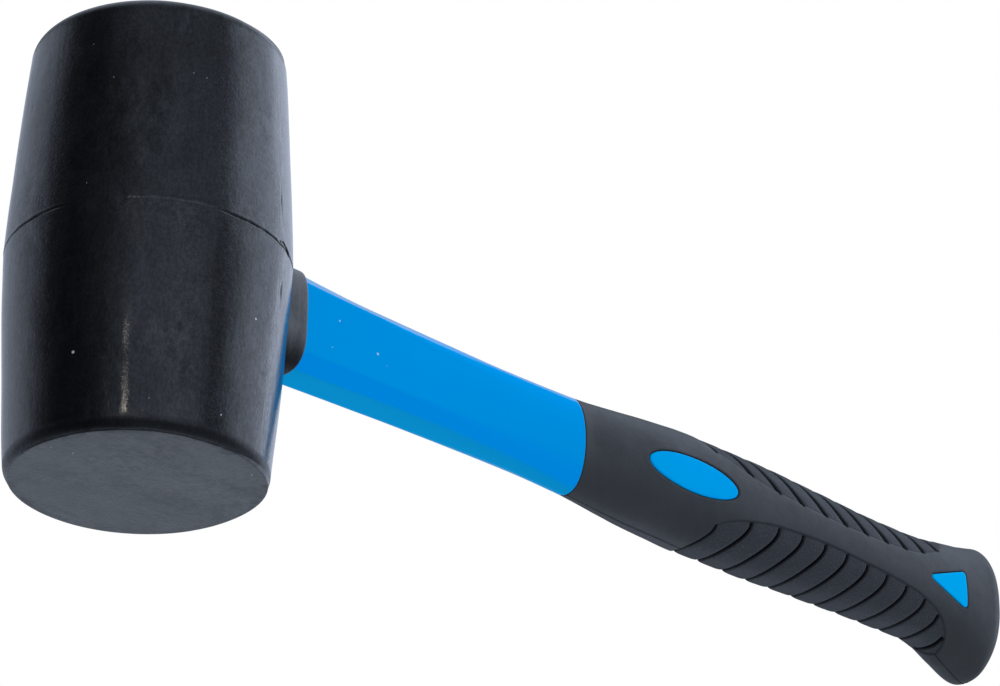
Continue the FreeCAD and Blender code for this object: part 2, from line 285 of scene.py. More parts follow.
# ---------------------------------------------------------------- node kit
class Nodes:
    def __init__(self, name):
        self.m = bpy.data.materials.new(name)
        self.m.use_nodes = True
        self.t = self.m.node_tree
        self.t.nodes.clear()
        self.out = self.t.nodes.new("ShaderNodeOutputMaterial")
        self.bsdf = self.t.nodes.new("ShaderNodeBsdfPrincipled")
        self.t.links.new(self.bsdf.outputs[0], self.out.inputs[0])
        tc = self.t.nodes.new("ShaderNodeTexCoord")
        self.obj = tc.outputs["Object"]

    def new(self, kind, **kw):
        n = self.t.nodes.new(kind)
        for k, v in kw.items():
            setattr(n, k, v)
        return n

    def put(self, socket, value):
        if hasattr(value, "is_output") or isinstance(value, bpy.types.NodeSocket):
            self.t.links.new(value, socket)
        else:
            socket.default_value = value

    def math(self, op, a, b=0.0, c=None, clamp=False):
        n = self.new("ShaderNodeMath", operation=op, use_clamp=clamp)
        self.put(n.inputs[0], a)
        self.put(n.inputs[1], b)
        if c is not None:
            self.put(n.inputs[2], c)
        return n.outputs[0]

    def vec(self, op, a, b=None, scale=None):
        n = self.new("ShaderNodeVectorMath", operation=op)
        self.put(n.inputs[0], a)
        if b is not None:
            self.put(n.inputs[1], b)
        if scale is not None:
            self.put(n.inputs[3], scale)
        return n.outputs["Value"] if op in ("LENGTH", "DISTANCE", "DOT_PRODUCT") else n.outputs[0]

    def noise(self, scale, detail=3.0, rough=0.55, stretch=None, distort=0.0, offset=None):
        v = self.obj
        if offset is not None:
            v = self.vec("ADD", v, offset)
        if stretch is not None:
            v = self.vec("MULTIPLY", v, stretch)
        n = self.new("ShaderNodeTexNoise")
        self.t.links.new(v, n.inputs["Vector"])
        n.inputs["Scale"].default_value = scale
        n.inputs["Detail"].default_value = detail
        n.inputs["Roughness"].default_value = rough
        n.inputs["Distortion"].default_value = distort
        return n.outputs["Fac"]

    def voronoi(self, scale, feature="F1", output="Distance", stretch=None):
        v = self.obj if stretch is None else self.vec("MULTIPLY", self.obj, stretch)
        n = self.new("ShaderNodeTexVoronoi", feature=feature)
        self.t.links.new(v, n.inputs["Vector"])
        n.inputs["Scale"].default_value = scale
        return n.outputs[output]

    def ramp(self, fac, a, b, lo=0.0, hi=1.0):
        """Smooth step of fac from a..b to lo..hi."""
        n = self.new("ShaderNodeMapRange", interpolation_type="SMOOTHSTEP", clamp=True)
        self.put(n.inputs["Value"], fac)
        for k, v in zip(("From Min", "From Max", "To Min", "To Max"), (a, b, lo, hi)):
            n.inputs[k].default_value = v
        return n.outputs[0]

    def mix(self, fac, a, b, mode="MIX"):
        n = self.new("ShaderNodeMix", data_type="RGBA", blend_type=mode)
        self.put(n.inputs[0], fac)
        self.put(n.inputs[6], a if not isinstance(a, tuple) else (*a, 1.0))
        self.put(n.inputs[7], b if not isinstance(b, tuple) else (*b, 1.0))
        return n.outputs[2]

    def attr(self, name):
        n = self.new("ShaderNodeAttribute", attribute_name=name)
        return n.outputs["Fac"]

    def bump(self, height, strength, distance, normal=None):
        n = self.new("ShaderNodeBump")
        self.put(n.inputs["Height"], height)
        n.inputs["Strength"].default_value = strength
        n.inputs["Distance"].default_value = distance
        if normal is not None:
            self.t.links.new(normal, n.inputs["Normal"])
        return n.outputs[0]

    def specks(self, points):
        """Little bits of dust at the given places: (x, y, z in mm, radius in mm)."""
        total = None
        for x, y, z, r in points:
            d = self.vec("DISTANCE", self.obj, (x * 0.001, y * 0.001, z * 0.001 + ZC))
            m = self.ramp(d, r * 0.001 * 0.7, r * 0.001 * 1.25, 1.0, 0.0)
            total = m if total is None else self.math("MAXIMUM", total, m)
        return total

    def set(self, **kw):
        names = {"color": "Base Color", "rough": "Roughness", "spec": "Specular IOR Level", "tint": "Specular Tint", "metal": "Metallic",
                 "normal": "Normal", "coat": "Coat Weight", "coat_rough": "Coat Roughness", "sheen": "Sheen Weight", "sheen_rough": "Sheen Roughness",
                 "sss": "Subsurface Weight"}
        for k, v in kw.items():
            self.put(self.bsdf.inputs[names[k]], (*v, 1.0) if isinstance(v, tuple) and len(v) == 3 else v)
        return self.m


# ---------------------------------------------------------------- materials
def lane_at(n, az):
    """Distance, seen from above, to the upright line on the barrel at this azimuth."""
    flat = n.vec("MULTIPLY", n.obj, (1.0, 1.0, 0.0))
    a = math.radians(az)
    return n.vec("DISTANCE", flat, (0.0365 * math.cos(a), 0.0365 * math.sin(a), 0.0))


def head_material():
    n = Nodes("head_rubber")
    sep = n.new("ShaderNodeSeparateXYZ")
    n.t.links.new(n.obj, sep.inputs[0])
    flat = n.new("ShaderNodeCombineXYZ")
    n.t.links.new(sep.outputs[0], flat.inputs[0])
    n.t.links.new(sep.outputs[1], flat.inputs[1])
    rad = n.vec("LENGTH", flat.outputs[0])
    dz = n.math("ABSOLUTE", n.math("SUBTRACT", sep.outputs[2], ZC))
    wob = n.math("MULTIPLY", n.math("SUBTRACT", n.noise(90, 2), 0.5), 0.0006)
    way = n.math("DIVIDE", n.vec("DOT_PRODUCT", flat.outputs[0], (*FACE_DIR, 0.0)), n.math("MAXIMUM", rad, 0.001))
    w2 = n.math("MULTIPLY", way, way)
    w4 = n.math("MULTIPLY", w2, w2)
    one = n.math("SUBTRACT", n.math("MULTIPLY", w4, 0.00315), n.math("MULTIPLY", w2, 0.0016))
    pos = n.math("GREATER_THAN", way, 0.0)
    spread = n.math("ADD", n.math("MULTIPLY", pos, one), n.math("MULTIPLY", n.math("SUBTRACT", 1.0, pos), n.math("MULTIPLY", w4, 0.00085)))
    reach = n.math("SUBTRACT", rad, spread)
    face = n.math("MULTIPLY", n.ramp(n.math("ADD", reach, wob), 0.03145, 0.03195, 1.0, 0.0), n.ramp(dz, HALF * 0.001 - 0.0014, HALF * 0.001 - 0.0007))
    rim = n.math("MULTIPLY", n.ramp(dz, HALF * 0.001 - 0.0046, HALF * 0.001 - 0.0026), n.math("SUBTRACT", 1.0, face))
    # side: near black, with cloudy handling marks, faint upright wiping, fine level scratches and a dusty grain
    cloud = n.ramp(n.noise(34, 6, 0.62, distort=0.9, stretch=(1.0, 1.0, 0.7)), 0.44, 0.70)
    wipe = n.ramp(n.noise(95, 4, 0.6, stretch=(1.0, 1.0, 0.10)), 0.42, 0.72)
    hatch = n.ramp(n.noise(620, 3, 0.65, stretch=(0.22, 0.22, 1.7)), 0.50, 0.80)
    grain = n.ramp(n.noise(2100, 2, 0.7), 0.42, 0.78)
    fine = n.noise(900, 3, 0.6)
    bloom = n.math("ADD", n.math("MULTIPLY", cloud, 0.62), n.math("MULTIPLY", wipe, 0.26))
    bloom = n.math("MULTIPLY", bloom, n.math("ADD", 0.35, n.math("MULTIPLY", grain, 1.15)))
    bloom = n.math("ADD", bloom, n.math("MULTIPLY", hatch, n.math("MULTIPLY", n.math("SUBTRACT", 1.0, cloud), 0.22)), clamp=True)
    side = n.mix(bloom, (0.0016, 0.0021, 0.0025), (0.0175, 0.0196, 0.0215))
    # striking face: dull grey with dragged scuffs and darker smudges
    drag = n.noise(30, 6, 0.66, stretch=(1.0, 3.0, 1.0), distort=0.7)
    scuff = n.ramp(drag, 0.32, 0.58)
    small = n.ramp(n.noise(420, 4, 0.7, stretch=(1.0, 2.4, 1.0)), 0.38, 0.80)
    fcol = n.mix(scuff, (0.040, 0.0430, 0.0435), (0.061, 0.0640, 0.0640))
    fcol = n.mix(n.math("MULTIPLY", small, 0.34), fcol, (0.082, 0.085, 0.084))
    smudge = n.ramp(n.noise(58, 4, 0.6, distort=0.8), 0.56, 0.72)
    fcol = n.mix(n.math("MULTIPLY", smudge, 0.60), fcol, (0.030, 0.033, 0.035))
    worn_edge = n.math("MULTIPLY", n.ramp(reach, 0.0284, 0.0314), n.ramp(n.noise(130, 4, 0.65), 0.47, 0.60))
    fcol = n.mix(n.math("MULTIPLY", worn_edge, 0.8), fcol, (0.016, 0.017, 0.018))
    pits = n.ramp(n.voronoi(310), 0.05, 0.12, 1.0, 0.0)
    fcol = n.mix(n.math("MULTIPLY", pits, 0.30), fcol, (0.022, 0.025, 0.028))
    side = n.mix(n.math("MULTIPLY", rim, 0.35), side, (0.008, 0.009, 0.010))
    col = n.mix(face, side, fcol)
    dust = n.specks([(-32.6, -13.3, -40.8, 0.40), (7.2, -35.5, -25.1, 0.30), (-1.6, -34.1, -54.4, 0.2)])
    faint = n.specks([(-32.1, -12.9, 48.2, 0.20), (-29.8, -19.2, 36.7, 0.20), (-11.0, -33.6, 38.4, 0.2), (-14.3, -32.3, 39.0, 0.18),
                      (-0.6, -33.9, 57.4, 0.18), (-33.7, -15.9, 5.5, 0.2), (-19.6, -28.0, -53.9, 0.18), (-28.8, -1.8, -61.7, 0.22),
                      (-22.8, -3.0, -61.7, 0.25), (17.0, -24.8, -61.7, 0.28), (30.1, 18.0, 30.2, 0.25), (-20.1, 31.0, -12.2, 0.25),
                      (36.2, 8.0, -33.2, 0.26), (4.0, 36.6, 22.2, 0.3), (9.0, 11.0, 61.7, 0.3), (-14.0, 8.0, 61.7, 0.3)])
    dust = n.math("MAXIMUM", dust, n.math("MULTIPLY", faint, 0.34))
    col = n.mix(dust, col, (0.62, 0.66, 0.68))
    # painted shade: near-black colour in the seam groove and the nicks
    col = n.mix(n.math("MULTIPLY", n.attr("cavity"), 0.92, clamp=True), col, (0.0012, 0.0012, 0.0014))
    rough = n.math("ADD", 0.095, n.math("MULTIPLY", bloom, 0.18))
    rubbed = n.math("MULTIPLY", n.ramp(lane_at(n, -135.0), 0.003, 0.007, 1.0, 0.0), n.ramp(sep.outputs[2], ZC - 0.004, ZC - 0.020, 0.0, 1.0))
    rough = n.math("SUBTRACT", rough, n.math("MULTIPLY", rubbed, n.math("ADD", 0.030, n.math("MULTIPLY", bloom, 0.14))))
    rough = n.math("MAXIMUM", rough, n.math("MULTIPLY", rim, 0.34))
    rough = n.math("ADD", n.math("MULTIPLY", rough, n.math("SUBTRACT", 1.0, face)), n.math("MULTIPLY", face, 0.60))
    rough = n.math("MAXIMUM", rough, n.math("MULTIPLY", dust, 0.8))
    level = n.math("ADD", 0.40, n.math("MULTIPLY", n.ramp(n.noise(48, 4, 0.6, stretch=(1.0, 1.0, 0.45), distort=0.6), 0.34, 0.62), 0.12))
    level = n.math("SUBTRACT", level, n.math("MULTIPLY", rim, 0.12))
    patch = n.ramp(n.noise(42, 3, 0.55, distort=0.6, offset=(0.3, 0.1, 0.2)), 0.46, 0.64)
    mott = n.math("SUBTRACT", n.ramp(n.noise(330, 5, 0.78, stretch=(1.0, 1.0, 0.55)), 0.34, 0.66), 0.5)
    level = n.math("MULTIPLY", level, n.math("ADD", 1.0, n.math("MULTIPLY", mott, n.math("ADD", 0.22, n.math("MULTIPLY", patch, 0.50)))))
    tick = n.noise(1500, 3, 0.7, stretch=(1.0, 1.0, 0.55))
    level = n.math("MULTIPLY", level, n.math("ADD", 0.83, n.math("MULTIPLY", n.ramp(tick, 0.38, 0.62), 0.34)))
    # worn light streaks down the side next to the neck
    worn = n.math("MULTIPLY", n.ramp(lane_at(n, -63.5), 0.0, 0.0034, 1.0, 0.0), n.ramp(n.noise(620, 4, 0.7, stretch=(1.0, 1.0, 0.13)), 0.42, 0.66))
    level = n.math("ADD", level, n.math("MULTIPLY", worn, 0.32))
    calm = n.math("SUBTRACT", 1.0, n.math("MULTIPLY", rubbed, 0.86))
    b1 = n.bump(n.math("MULTIPLY", fine, calm), 0.10, 0.0004)
    b0 = n.bump(n.math("MULTIPLY", grain, calm), 0.16, 0.00012, b1)
    b2 = n.bump(n.math("ADD", n.math("MULTIPLY", n.noise(110, 3, 0.55, stretch=(1.0, 1.0, 0.22)), calm), n.math("MULTIPLY", worn, 0.5)), 0.16, 0.0008, b0)
    b3 = n.bump(n.math("MULTIPLY", n.math("ADD", drag, n.math("MULTIPLY", small, 0.4)), face), 0.35, 0.0006, b2)
    return n.set(color=col, rough=rough, spec=level, normal=b3)


def upward(n, a, b, low):
    """low where the surface looks down, rising to 1 where it looks up."""
    g = n.new("ShaderNodeNewGeometry")
    xyz = n.new("ShaderNodeSeparateXYZ")
    n.t.links.new(g.outputs["Normal"], xyz.inputs[0])
    return n.ramp(xyz.outputs[2], a, b, low, 1.0)


def blue_material(name, base, dark, specks=None, rough=0.30):
    n = Nodes(name)
    large = n.noise(14, 2, 0.5)
    grain = n.noise(1500, 2, 0.6)
    drawn = n.noise(120, 4, 0.6, stretch=(0.25, 1.0, 1.0))
    col = n.mix(n.ramp(large, 0.3, 0.75), base, dark)
    col = n.mix(n.math("MULTIPLY", n.ramp(drawn, 0.45, 0.8), 0.10), col, (base[0], base[1] * 1.12, base[2] * 1.06))
    # painted shade: darker blue in recesses
    col = n.mix(n.math("MULTIPLY", n.attr("cavity"), 0.8, clamp=True), col, (0.0, 0.02, 0.06))
    r = n.math("ADD", rough, n.math("MULTIPLY", n.ramp(drawn, 0.35, 0.8), 0.10))
    g = n.new("ShaderNodeNewGeometry")
    xyz = n.new("ShaderNodeSeparateXYZ")
    n.t.links.new(g.outputs["Normal"], xyz.inputs[0])
    nz = xyz.outputs[2]
    # painted shading by facing: the colour is made deeper on the downward-facing bevels and greener on the narrow
    # underside
    col = n.mix(n.ramp(nz, -0.50, -0.10, 1.0, 0.0), col, (base[0], base[1] * 0.90, base[2] * 1.03))
    col = n.mix(n.ramp(nz, -0.99, -0.72, 1.0, 0.0), col, (base[0] + 0.004, base[1] * 0.93, base[2] * 0.80))
    if specks:
        d = n.specks(specks)
        col = n.mix(n.math("MULTIPLY", d, 0.60), col, (0.62, 0.84, 0.97))
    b = n.bump(n.math("ADD", n.math("MULTIPLY", grain, 0.6), drawn), 0.06, 0.0003)
    lw = n.new("ShaderNodeLayerWeight")
    lw.inputs["Blend"].default_value = 0.5
    sheen = n.math("MULTIPLY", n.ramp(lw.outputs["Facing"], 0.66, 0.90, 0.0, 1.0), upward(n, -0.30, 0.30, 0.10))
    spec = n.math("MULTIPLY", sheen, 0.85)
    # painted shade: the base colour darkens on upward edges seen at a grazing angle, so the edge sheen looks white
    col = n.mix(n.math("MULTIPLY", sheen, 0.50), col, (0.0, 0.06, 0.10))
    return n.set(color=col, rough=r, spec=spec, tint=(1.0, 1.0, 1.0), normal=b)


def elastomer_material(name, base, dark, light, bump_scale=1300, stipple=True):
    """Soft over-moulded grip: smooth bands are a little lighter, panels are stippled, groove floors carry painted
    shade.
    """
    n = Nodes(name)
    panel, cavity, wear = n.attr("panel"), n.attr("cavity"), n.attr("wear")
    cloud = n.noise(26, 4, 0.6, distort=0.5)
    fine = n.noise(1100, 3, 0.65)
    col = n.mix(n.ramp(cloud, 0.35, 0.72), base, light)
    col = n.mix(n.math("MULTIPLY", panel, 0.95), col, (dark[0] * 1.30, dark[1] * 1.30, dark[2] * 1.30))
    spot = n.ramp(n.voronoi(2100), 0.16, 0.44, 1.0, 0.0)
    col = n.mix(n.math("MULTIPLY", n.math("MULTIPLY", panel, spot), 0.56), col, (light[0] * 1.7, light[1] * 1.7, light[2] * 1.7))
    col = n.mix(n.math("MULTIPLY", n.ramp(fine, 0.5, 0.8), 0.18), col, light)
    # lighter colour along the lips beside the grooves
    col = n.mix(n.math("MULTIPLY", wear, 0.5, clamp=True), col, (light[0] * 1.5, light[1] * 1.5, light[2] * 1.5))
    # painted shade: dark groove floors and outlines
    col = n.mix(n.math("MULTIPLY", cavity, 0.96, clamp=True), col, (0.0022, 0.0024, 0.0036))
    dust = n.ramp(n.voronoi(75), 0.010, 0.022, 1.0, 0.0)
    col = n.mix(n.math("MULTIPLY", dust, 0.35), col, (0.30, 0.32, 0.34))
    rough = n.math("ADD", 0.40, n.math("MULTIPLY", panel, 0.14))
    rough = n.math("ADD", rough, n.math("MULTIPLY", n.ramp(cloud, 0.3, 0.8), 0.08))
    lw = n.new("ShaderNodeLayerWeight")
    lw.inputs["Blend"].default_value = 0.5
    spec = n.math("SUBTRACT", 0.185, n.math("MULTIPLY", cavity, 0.17), clamp=True)
    spec = n.math("MULTIPLY", spec, n.ramp(lw.outputs["Facing"], 0.46, 0.86, 1.0, 0.12))
    spec = n.math("MULTIPLY", spec, upward(n, -0.45, 0.25, 0.40))
    mott = n.noise(300, 5, 0.66)
    spec = n.math("MULTIPLY", spec, n.math("ADD", 0.35, n.math("MULTIPLY", mott, 1.30)))
    b1 = n.bump(fine, 0.16, 0.0003)
    h = n.math("MULTIPLY", n.math("ADD", spot, n.math("MULTIPLY", n.noise(2200, 2), 0.6)), panel)
    b2 = n.bump(h, 0.30, 0.00022, b1)
    return n.set(color=col, rough=rough, spec=spec, normal=b2 if stipple else b1)


def collar_material():
    n = Nodes("collar_elastomer")
    drawn = n.noise(330, 5, 0.66, stretch=(0.9, 1.0, 0.28))
    fine = n.noise(1200, 3, 0.6)
    col = n.mix(n.ramp(drawn, 0.34, 0.66), (0.040, 0.043, 0.045), (0.094, 0.098, 0.101))
    sep = n.new("ShaderNodeSeparateXYZ")
    n.t.links.new(n.obj, sep.inputs[0])
    # painted shade darkens the collar towards its bottom; painted light makes it lighter and warmer towards its top
    col = n.mix(n.ramp(sep.outputs[2], ZC - 0.0145, ZC - 0.0040, 0.88, 0.0), col, (0.006, 0.006, 0.007))
    col = n.mix(n.ramp(sep.outputs[2], ZC + 0.002, ZC + 0.013, 0.0, 0.35), col, (0.085, 0.083, 0.080))
    col = n.mix(n.math("MULTIPLY", n.ramp(fine, 0.5, 0.8), 0.2), col, (0.080, 0.084, 0.088))
    return n.set(color=col, rough=n.math("ADD", 0.38, n.math("MULTIPLY", drawn, 0.14)), spec=n.math("MULTIPLY", upward(n, -0.50, 0.10, 0.20), 0.46), normal=n.bump(n.math("ADD", fine, n.math("MULTIPLY", drawn, 1.5)), 0.22, 0.0003))


def epoxy_material():
    n = Nodes("epoxy")
    flow = n.noise(240, 4, 0.6, distort=1.2)
    bubbles = n.ramp(n.voronoi(900), 0.05, 0.16, 1.0, 0.0)
    col = n.mix(n.ramp(flow, 0.3, 0.75), (0.16, 0.13, 0.075), (0.27, 0.225, 0.13))
    col = n.mix(n.math("MULTIPLY", bubbles, 0.5), col, (0.07, 0.055, 0.03))
    return n.set(color=col, rough=0.24, spec=0.5, normal=n.bump(n.math("ADD", flow, bubbles), 0.35, 0.0004))


def fibre_material():
    n = Nodes("fibreglass")
    strands = n.voronoi(2300)
    rings = n.noise(500, 4, 0.65)
    col = n.mix(n.ramp(strands, 0.1, 0.6), (0.52, 0.46, 0.28), (0.30, 0.25, 0.13))
    col = n.mix(n.math("MULTIPLY", n.ramp(rings, 0.45, 0.75), 0.4), col, (0.66, 0.61, 0.43))
    return n.set(color=col, rough=0.58, spec=0.4, normal=n.bump(strands, 0.5, 0.0003))


HEAD_M = head_material()
JACKET_M = blue_material("blue_plastic", (0.0, 0.374, 0.850), (0.0, 0.361, 0.825),
                         specks=[(59.8, -8.0, 3.3, 0.30), (73.9, -8.0, -1.6, 0.42), (57.5, -8.0, -5.4, 0.20), (77.4, -8.0, -4.0, 0.18), (120, 8.0, 5.0, 0.35), (72, 8.0, -4.0, 0.35)])
INLAY_M = blue_material("blue_inlay", (0.0, 0.452, 0.94), (0.0, 0.436, 0.92), rough=0.34)
PLUG_M = blue_material("blue_inlay_small", (0.0, 0.518, 1.0), (0.0, 0.502, 0.98), rough=0.34)
GRIP_M = elastomer_material("grip_elastomer", (0.0425, 0.0450, 0.0468), (0.0300, 0.0325, 0.0358), (0.0505, 0.0532, 0.0550))
COLLAR_M = collar_material()
EPOXY_M = epoxy_material()
FIBRE_M = fibre_material()


# ---------------------------------------------------------------- head
def barrel_r(z):
    return RMID - 3.94 * (np.abs(z) / HALF) ** 1.303


def face_spread(s):
    """How much wider than FACE_R the struck face is; s is the sine of the angle away from the narrow way."""
    s2 = s * s
    return np.where(s > 0, 1.55 * s2 * s2 - 1.6 * s2 * (1 - s2), 0.85 * s2 * s2)


def build_head():
    rim = 3.28
    zf = HALF - rim
    rf = float(barrel_r(zf))
    # profile from the lower face's centre, out over the rim, up the barrel and back to the centre of the upper face
    zs = np.concatenate([np.linspace(-zf, -3.0, 46)[:-1], np.linspace(-3.0, 3.0, 67), np.linspace(3.0, zf, 46)[1:]])
    prof = [(0.0, -HALF)]
    for r in np.concatenate([np.linspace(4.0, rf - rim - 1.2, 12), [rf - rim - 0.6, rf - rim]]):
        prof.append((r, -HALF))
    # the struck face is worn flat, so it ends in a crisp corner a little way round the rim
    prof += [(FACE_R - 0.7, -HALF), (FACE_R - 0.16, -HALF), (FACE_R - 0.05, -HALF + 0.03), (FACE_R, -HALF + 0.10), (FACE_R + 0.03, -HALF + 0.27)]
    a0 = math.degrees(math.asin((FACE_R + 0.10 - rf + rim) / rim))
    for a in np.linspace(a0, 90, 14)[:-1]:
        prof.append((rf - rim + rim * math.sin(math.radians(a)), -HALF + rim - rim * math.cos(math.radians(a))))
    n_low = len(prof)
    for z in zs:
        prof.append((float(barrel_r(z)), z))
    low = prof[:n_low]
    prof += [(r, -z) for r, z in low[::-1]]
    prof = np.array(prof)
    m = 576
    ang = np.arange(m) * 2 * np.pi / m
    rings_ = prof[1:-1]
    RR, ZZ = np.repeat(rings_[:, :1], m, 1), np.repeat(rings_[:, 1:], m, 1)
    # the struck faces are not quite round: their corner meets the rim higher where they have spread
    face_r = FACE_R + face_spread(np.cos(ang) * FACE_DIR[0] + np.sin(ang) * FACE_DIR[1])
    start = np.degrees(np.arcsin(np.clip((face_r + 0.10 - rf + rim) / rim, 0.05, 0.97)))
    n_flat = n_low - 1 - 13
    for k in range(n_flat):
        RR[k] = np.where(RR[k] > 20, RR[k] * (1 + (face_r / FACE_R - 1) * smooth(20, FACE_R, RR[k])), RR[k])
        RR[-1 - k] = RR[k]
    for k in range(13):
        a = np.radians(start + (90 - start) * k / 13.0)
        RR[n_flat + k] = rf - rim + rim * np.sin(a)
        ZZ[n_flat + k] = -HALF + rim - rim * np.cos(a)
        RR[-1 - n_flat - k], ZZ[-1 - n_flat - k] = RR[n_flat + k], -ZZ[n_flat + k]
    P = np.zeros((len(rings_), m, 3))
    P[..., 0] = RR * np.cos(ang)
    P[..., 1] = RR * np.sin(ang)
    P[..., 2] = ZZ
    az = np.degrees(np.arctan2(P[..., 1], P[..., 0]))
    # outward direction of the profile
    dr, dz = np.gradient(RR, axis=0), np.gradient(ZZ, axis=0)
    l = np.hypot(dr, dz)
    nr, nz = dz / l, -dr / l
    N = np.stack([nr * np.cos(ang), nr * np.sin(ang), nz], -1)
    D = 0.075 * noise3(P, 34.0, 5) + 0.022 * noise3(P, 11.0, 6)
    side = smooth(HALF, HALF - 6.0, np.abs(P[..., 2]))
    D *= 0.35 + 0.65 * side
    # moulded parting seam: a wandering groove with a slightly raised lip above it, deeper in places
    lane = 0.22 * noise3(P * [1, 1, 0], 40.0, 8) + 0.07 * noise3(P * [1, 1, 0], 5.0, 9)
    d = P[..., 2] - lane
    deep = 0.30 + 0.16 * noise3(P * [1, 1, 0], 22.0, 10) + 0.10 * noise3(P * [1, 1, 0], 3.5, 12)
    turn = az % 360
    front = smooth(180, 203, turn) * (1 - smooth(252, 276, turn))      # rubbed nearly flush over this stretch
    deep = np.clip(deep, 0.14, 0.6) * (1 - 0.93 * front)
    groove = np.exp(-(d / 0.19) ** 2)
    D -= deep * groove
    D += (0.05 - 0.02 * front) * np.exp(-((d - 0.65) / 0.40) ** 2)
    D -= 0.05 * smooth(0.9, -0.3, d) * smooth(-14.0, -0.5, d)
    # painted shade for the seam groove and the nicks, set by their depth
    groove_shade = np.clip(deep * groove / 0.26, 0, 1) * (1 - 0.9 * front)

    def gouge(a0, z0, ra, rz_, depth, tilt=0.0):
        """A small nick at azimuth a0 (deg) and height z0: ra and rz_ are its half sizes in mm."""
        nonlocal D, groove_shade
        da = np.radians(((az - a0 + 180) % 360) - 180) * RMID
        dh = P[..., 2] - z0 - tilt * da
        g = np.exp(-((da / ra) ** 2 + (dh / rz_) ** 2) ** 1.4)
        D = D - depth * g * side
        groove_shade = np.maximum(groove_shade, np.clip(g * 1.1, 0, 1) * min(1.0, depth / 0.35))
    gouge(-58.0, 0.3, 1.3, 0.55, 0.75, -0.35)
    gouge(-61.5, 0.9, 1.5, 0.40, 0.55, -0.25)
    gouge(-65.5, 0.6, 0.9, 0.35, 0.35, 0.1)
    gouge(-61.6, -12.2, 0.30, 1.9, 0.42)
    gouge(-61.2, -16.2, 0.34, 0.9, 0.12)
    gouge(166.0, 36.6, 2.3, 0.35, 0.14, -0.35)
    gouge(-62.0, 33.8, 0.9, 1.5, 0.14, 0.2)
    gouge(-178.0, 4.6, 4.6, 0.22, 0.10, -0.95)
    gouge(-64.4, 13.0, 0.14, 4.2, 0.16)
    gouge(-60.5, 6.0, 0.12, 3.0, 0.10)
    gouge(62.0, 0.4, 2.0, 0.45, 0.5, 0.1)
    gouge(115.0, -21.0, 0.35, 1.6, 0.2, 0.2)
    P = P + N * D[..., None]
    nr_ = len(rings_)
    V = np.vstack([P.reshape(-1, 3), [[0, 0, -HALF]], [[0, 0, HALF]]])
    F = [list(q) for q in tube_faces(nr_, m, flip=True)]
    F += [list(t) for t in fan_faces(0, nr_ * m, m, flip=True)]
    F += [list(t) for t in fan_faces((nr_ - 1) * m, nr_ * m + 1, m)]
    groove_shade = np.concatenate([groove_shade.reshape(-1), [0, 0]])
    # the two pole fans carry no relief
    o = mesh_object("rubber_head_moulding", V, F, HEAD_M, replaces=("rubber_head",), slot="head_rubber", attrs={"cavity": groove_shade})
    # blind eye for the handle, open towards the neck only
    xs = [EYE_X, 0.0, 34.6, 46.0]
    ang2 = np.arange(96) * 2 * np.pi / 96
    R = []
    for x in xs:
        r = superellipse(ang2, 7.9, 13.6, 3.6)
        R.append(np.column_stack([np.full(96, x), r * np.cos(ang2), r * np.sin(ang2)]))
    CV = np.vstack(R + [[[xs[0], 0, 0]], [[xs[-1], 0, 0]]])
    CF = [list(map(int, q)) for q in tube_faces(len(xs), 96, flip=True)]
    CF += [list(map(int, t)) for t in fan_faces(0, len(xs) * 96, 96, flip=True)]
    CF += [list(map(int, t)) for t in fan_faces((len(xs) - 1) * 96, len(xs) * 96 + 1, 96)]
    cme = bpy.data.meshes.new("eye_cutter")
    cv = CV * 0.001
    cv[:, 2] += ZC
    cme.from_pydata(cv.tolist(), [], CF)
    cut = bpy.data.objects.new("eye_cutter", cme)
    bpy.context.scene.collection.objects.link(cut)
    for me_ in (o.data, cme):
        outward(me_)
    mod = o.modifiers.new("eye", "BOOLEAN")
    mod.operation, mod.object, mod.solver = "DIFFERENCE", cut, "EXACT"
    bpy.context.view_layer.update()
    dg = bpy.context.evaluated_depsgraph_get()
    new = bpy.data.meshes.new_from_object(o.evaluated_get(dg))
    o.modifiers.clear()
    old = o.data
    o.data = new
    bpy.data.meshes.remove(old)
    bpy.data.objects.remove(cut)
    shade(new, 38)
    return o


def outward(me):
    """Make every face of a closed mesh point outwards."""
    import bmesh
    bm = bmesh.new()
    bm.from_mesh(me)
    bmesh.ops.recalc_face_normals(bm, faces=bm.faces)
    bm.to_mesh(me)
    bm.free()


def closed_tube(name, rings_, material, **kw):
    """Rings of equal count joined in order, and the last back to the first: a closed shell with a hole through it."""
    m = len(rings_[0])
    n = len(rings_)
    V = np.vstack(rings_)
    F = [list(q) for q in tube_faces(n, m)]
    j = np.arange(m)
    k = (j + 1) % m
    last = (n - 1) * m
    F += [list(q) for q in np.stack([last + j, j, k, last + k], -1)]
    o = mesh_object(name, V, F, material, **kw)
    outward(o.data)
    return o


# ---------------------------------------------------------------- jacket, collar, core, adhesive
TH_Y, TH_Z, TN = 6.3, 12.0, 4.2      # tenon half sizes
CH_Y, CH_Z = 4.72, 8.02              # core bore half sizes
COL_Y, COL_ZT, COL_ZB = 8.9, 15.4, -15.6   # outside of the neck collar


def stadium(ang, hy, hz):
    """Radius of a rounded slot section in the given directions."""
    c, s = np.abs(np.cos(ang)), np.abs(np.sin(ang))
    flat = hy / np.maximum(c, 1e-9)
    straight = flat * s <= hz - hy
    b = hz - hy
    disc = np.maximum((b * s) ** 2 - (b * b - hy * hy), 0)
    cap = b * s + np.sqrt(disc)
    return np.where(straight, flat, cap)


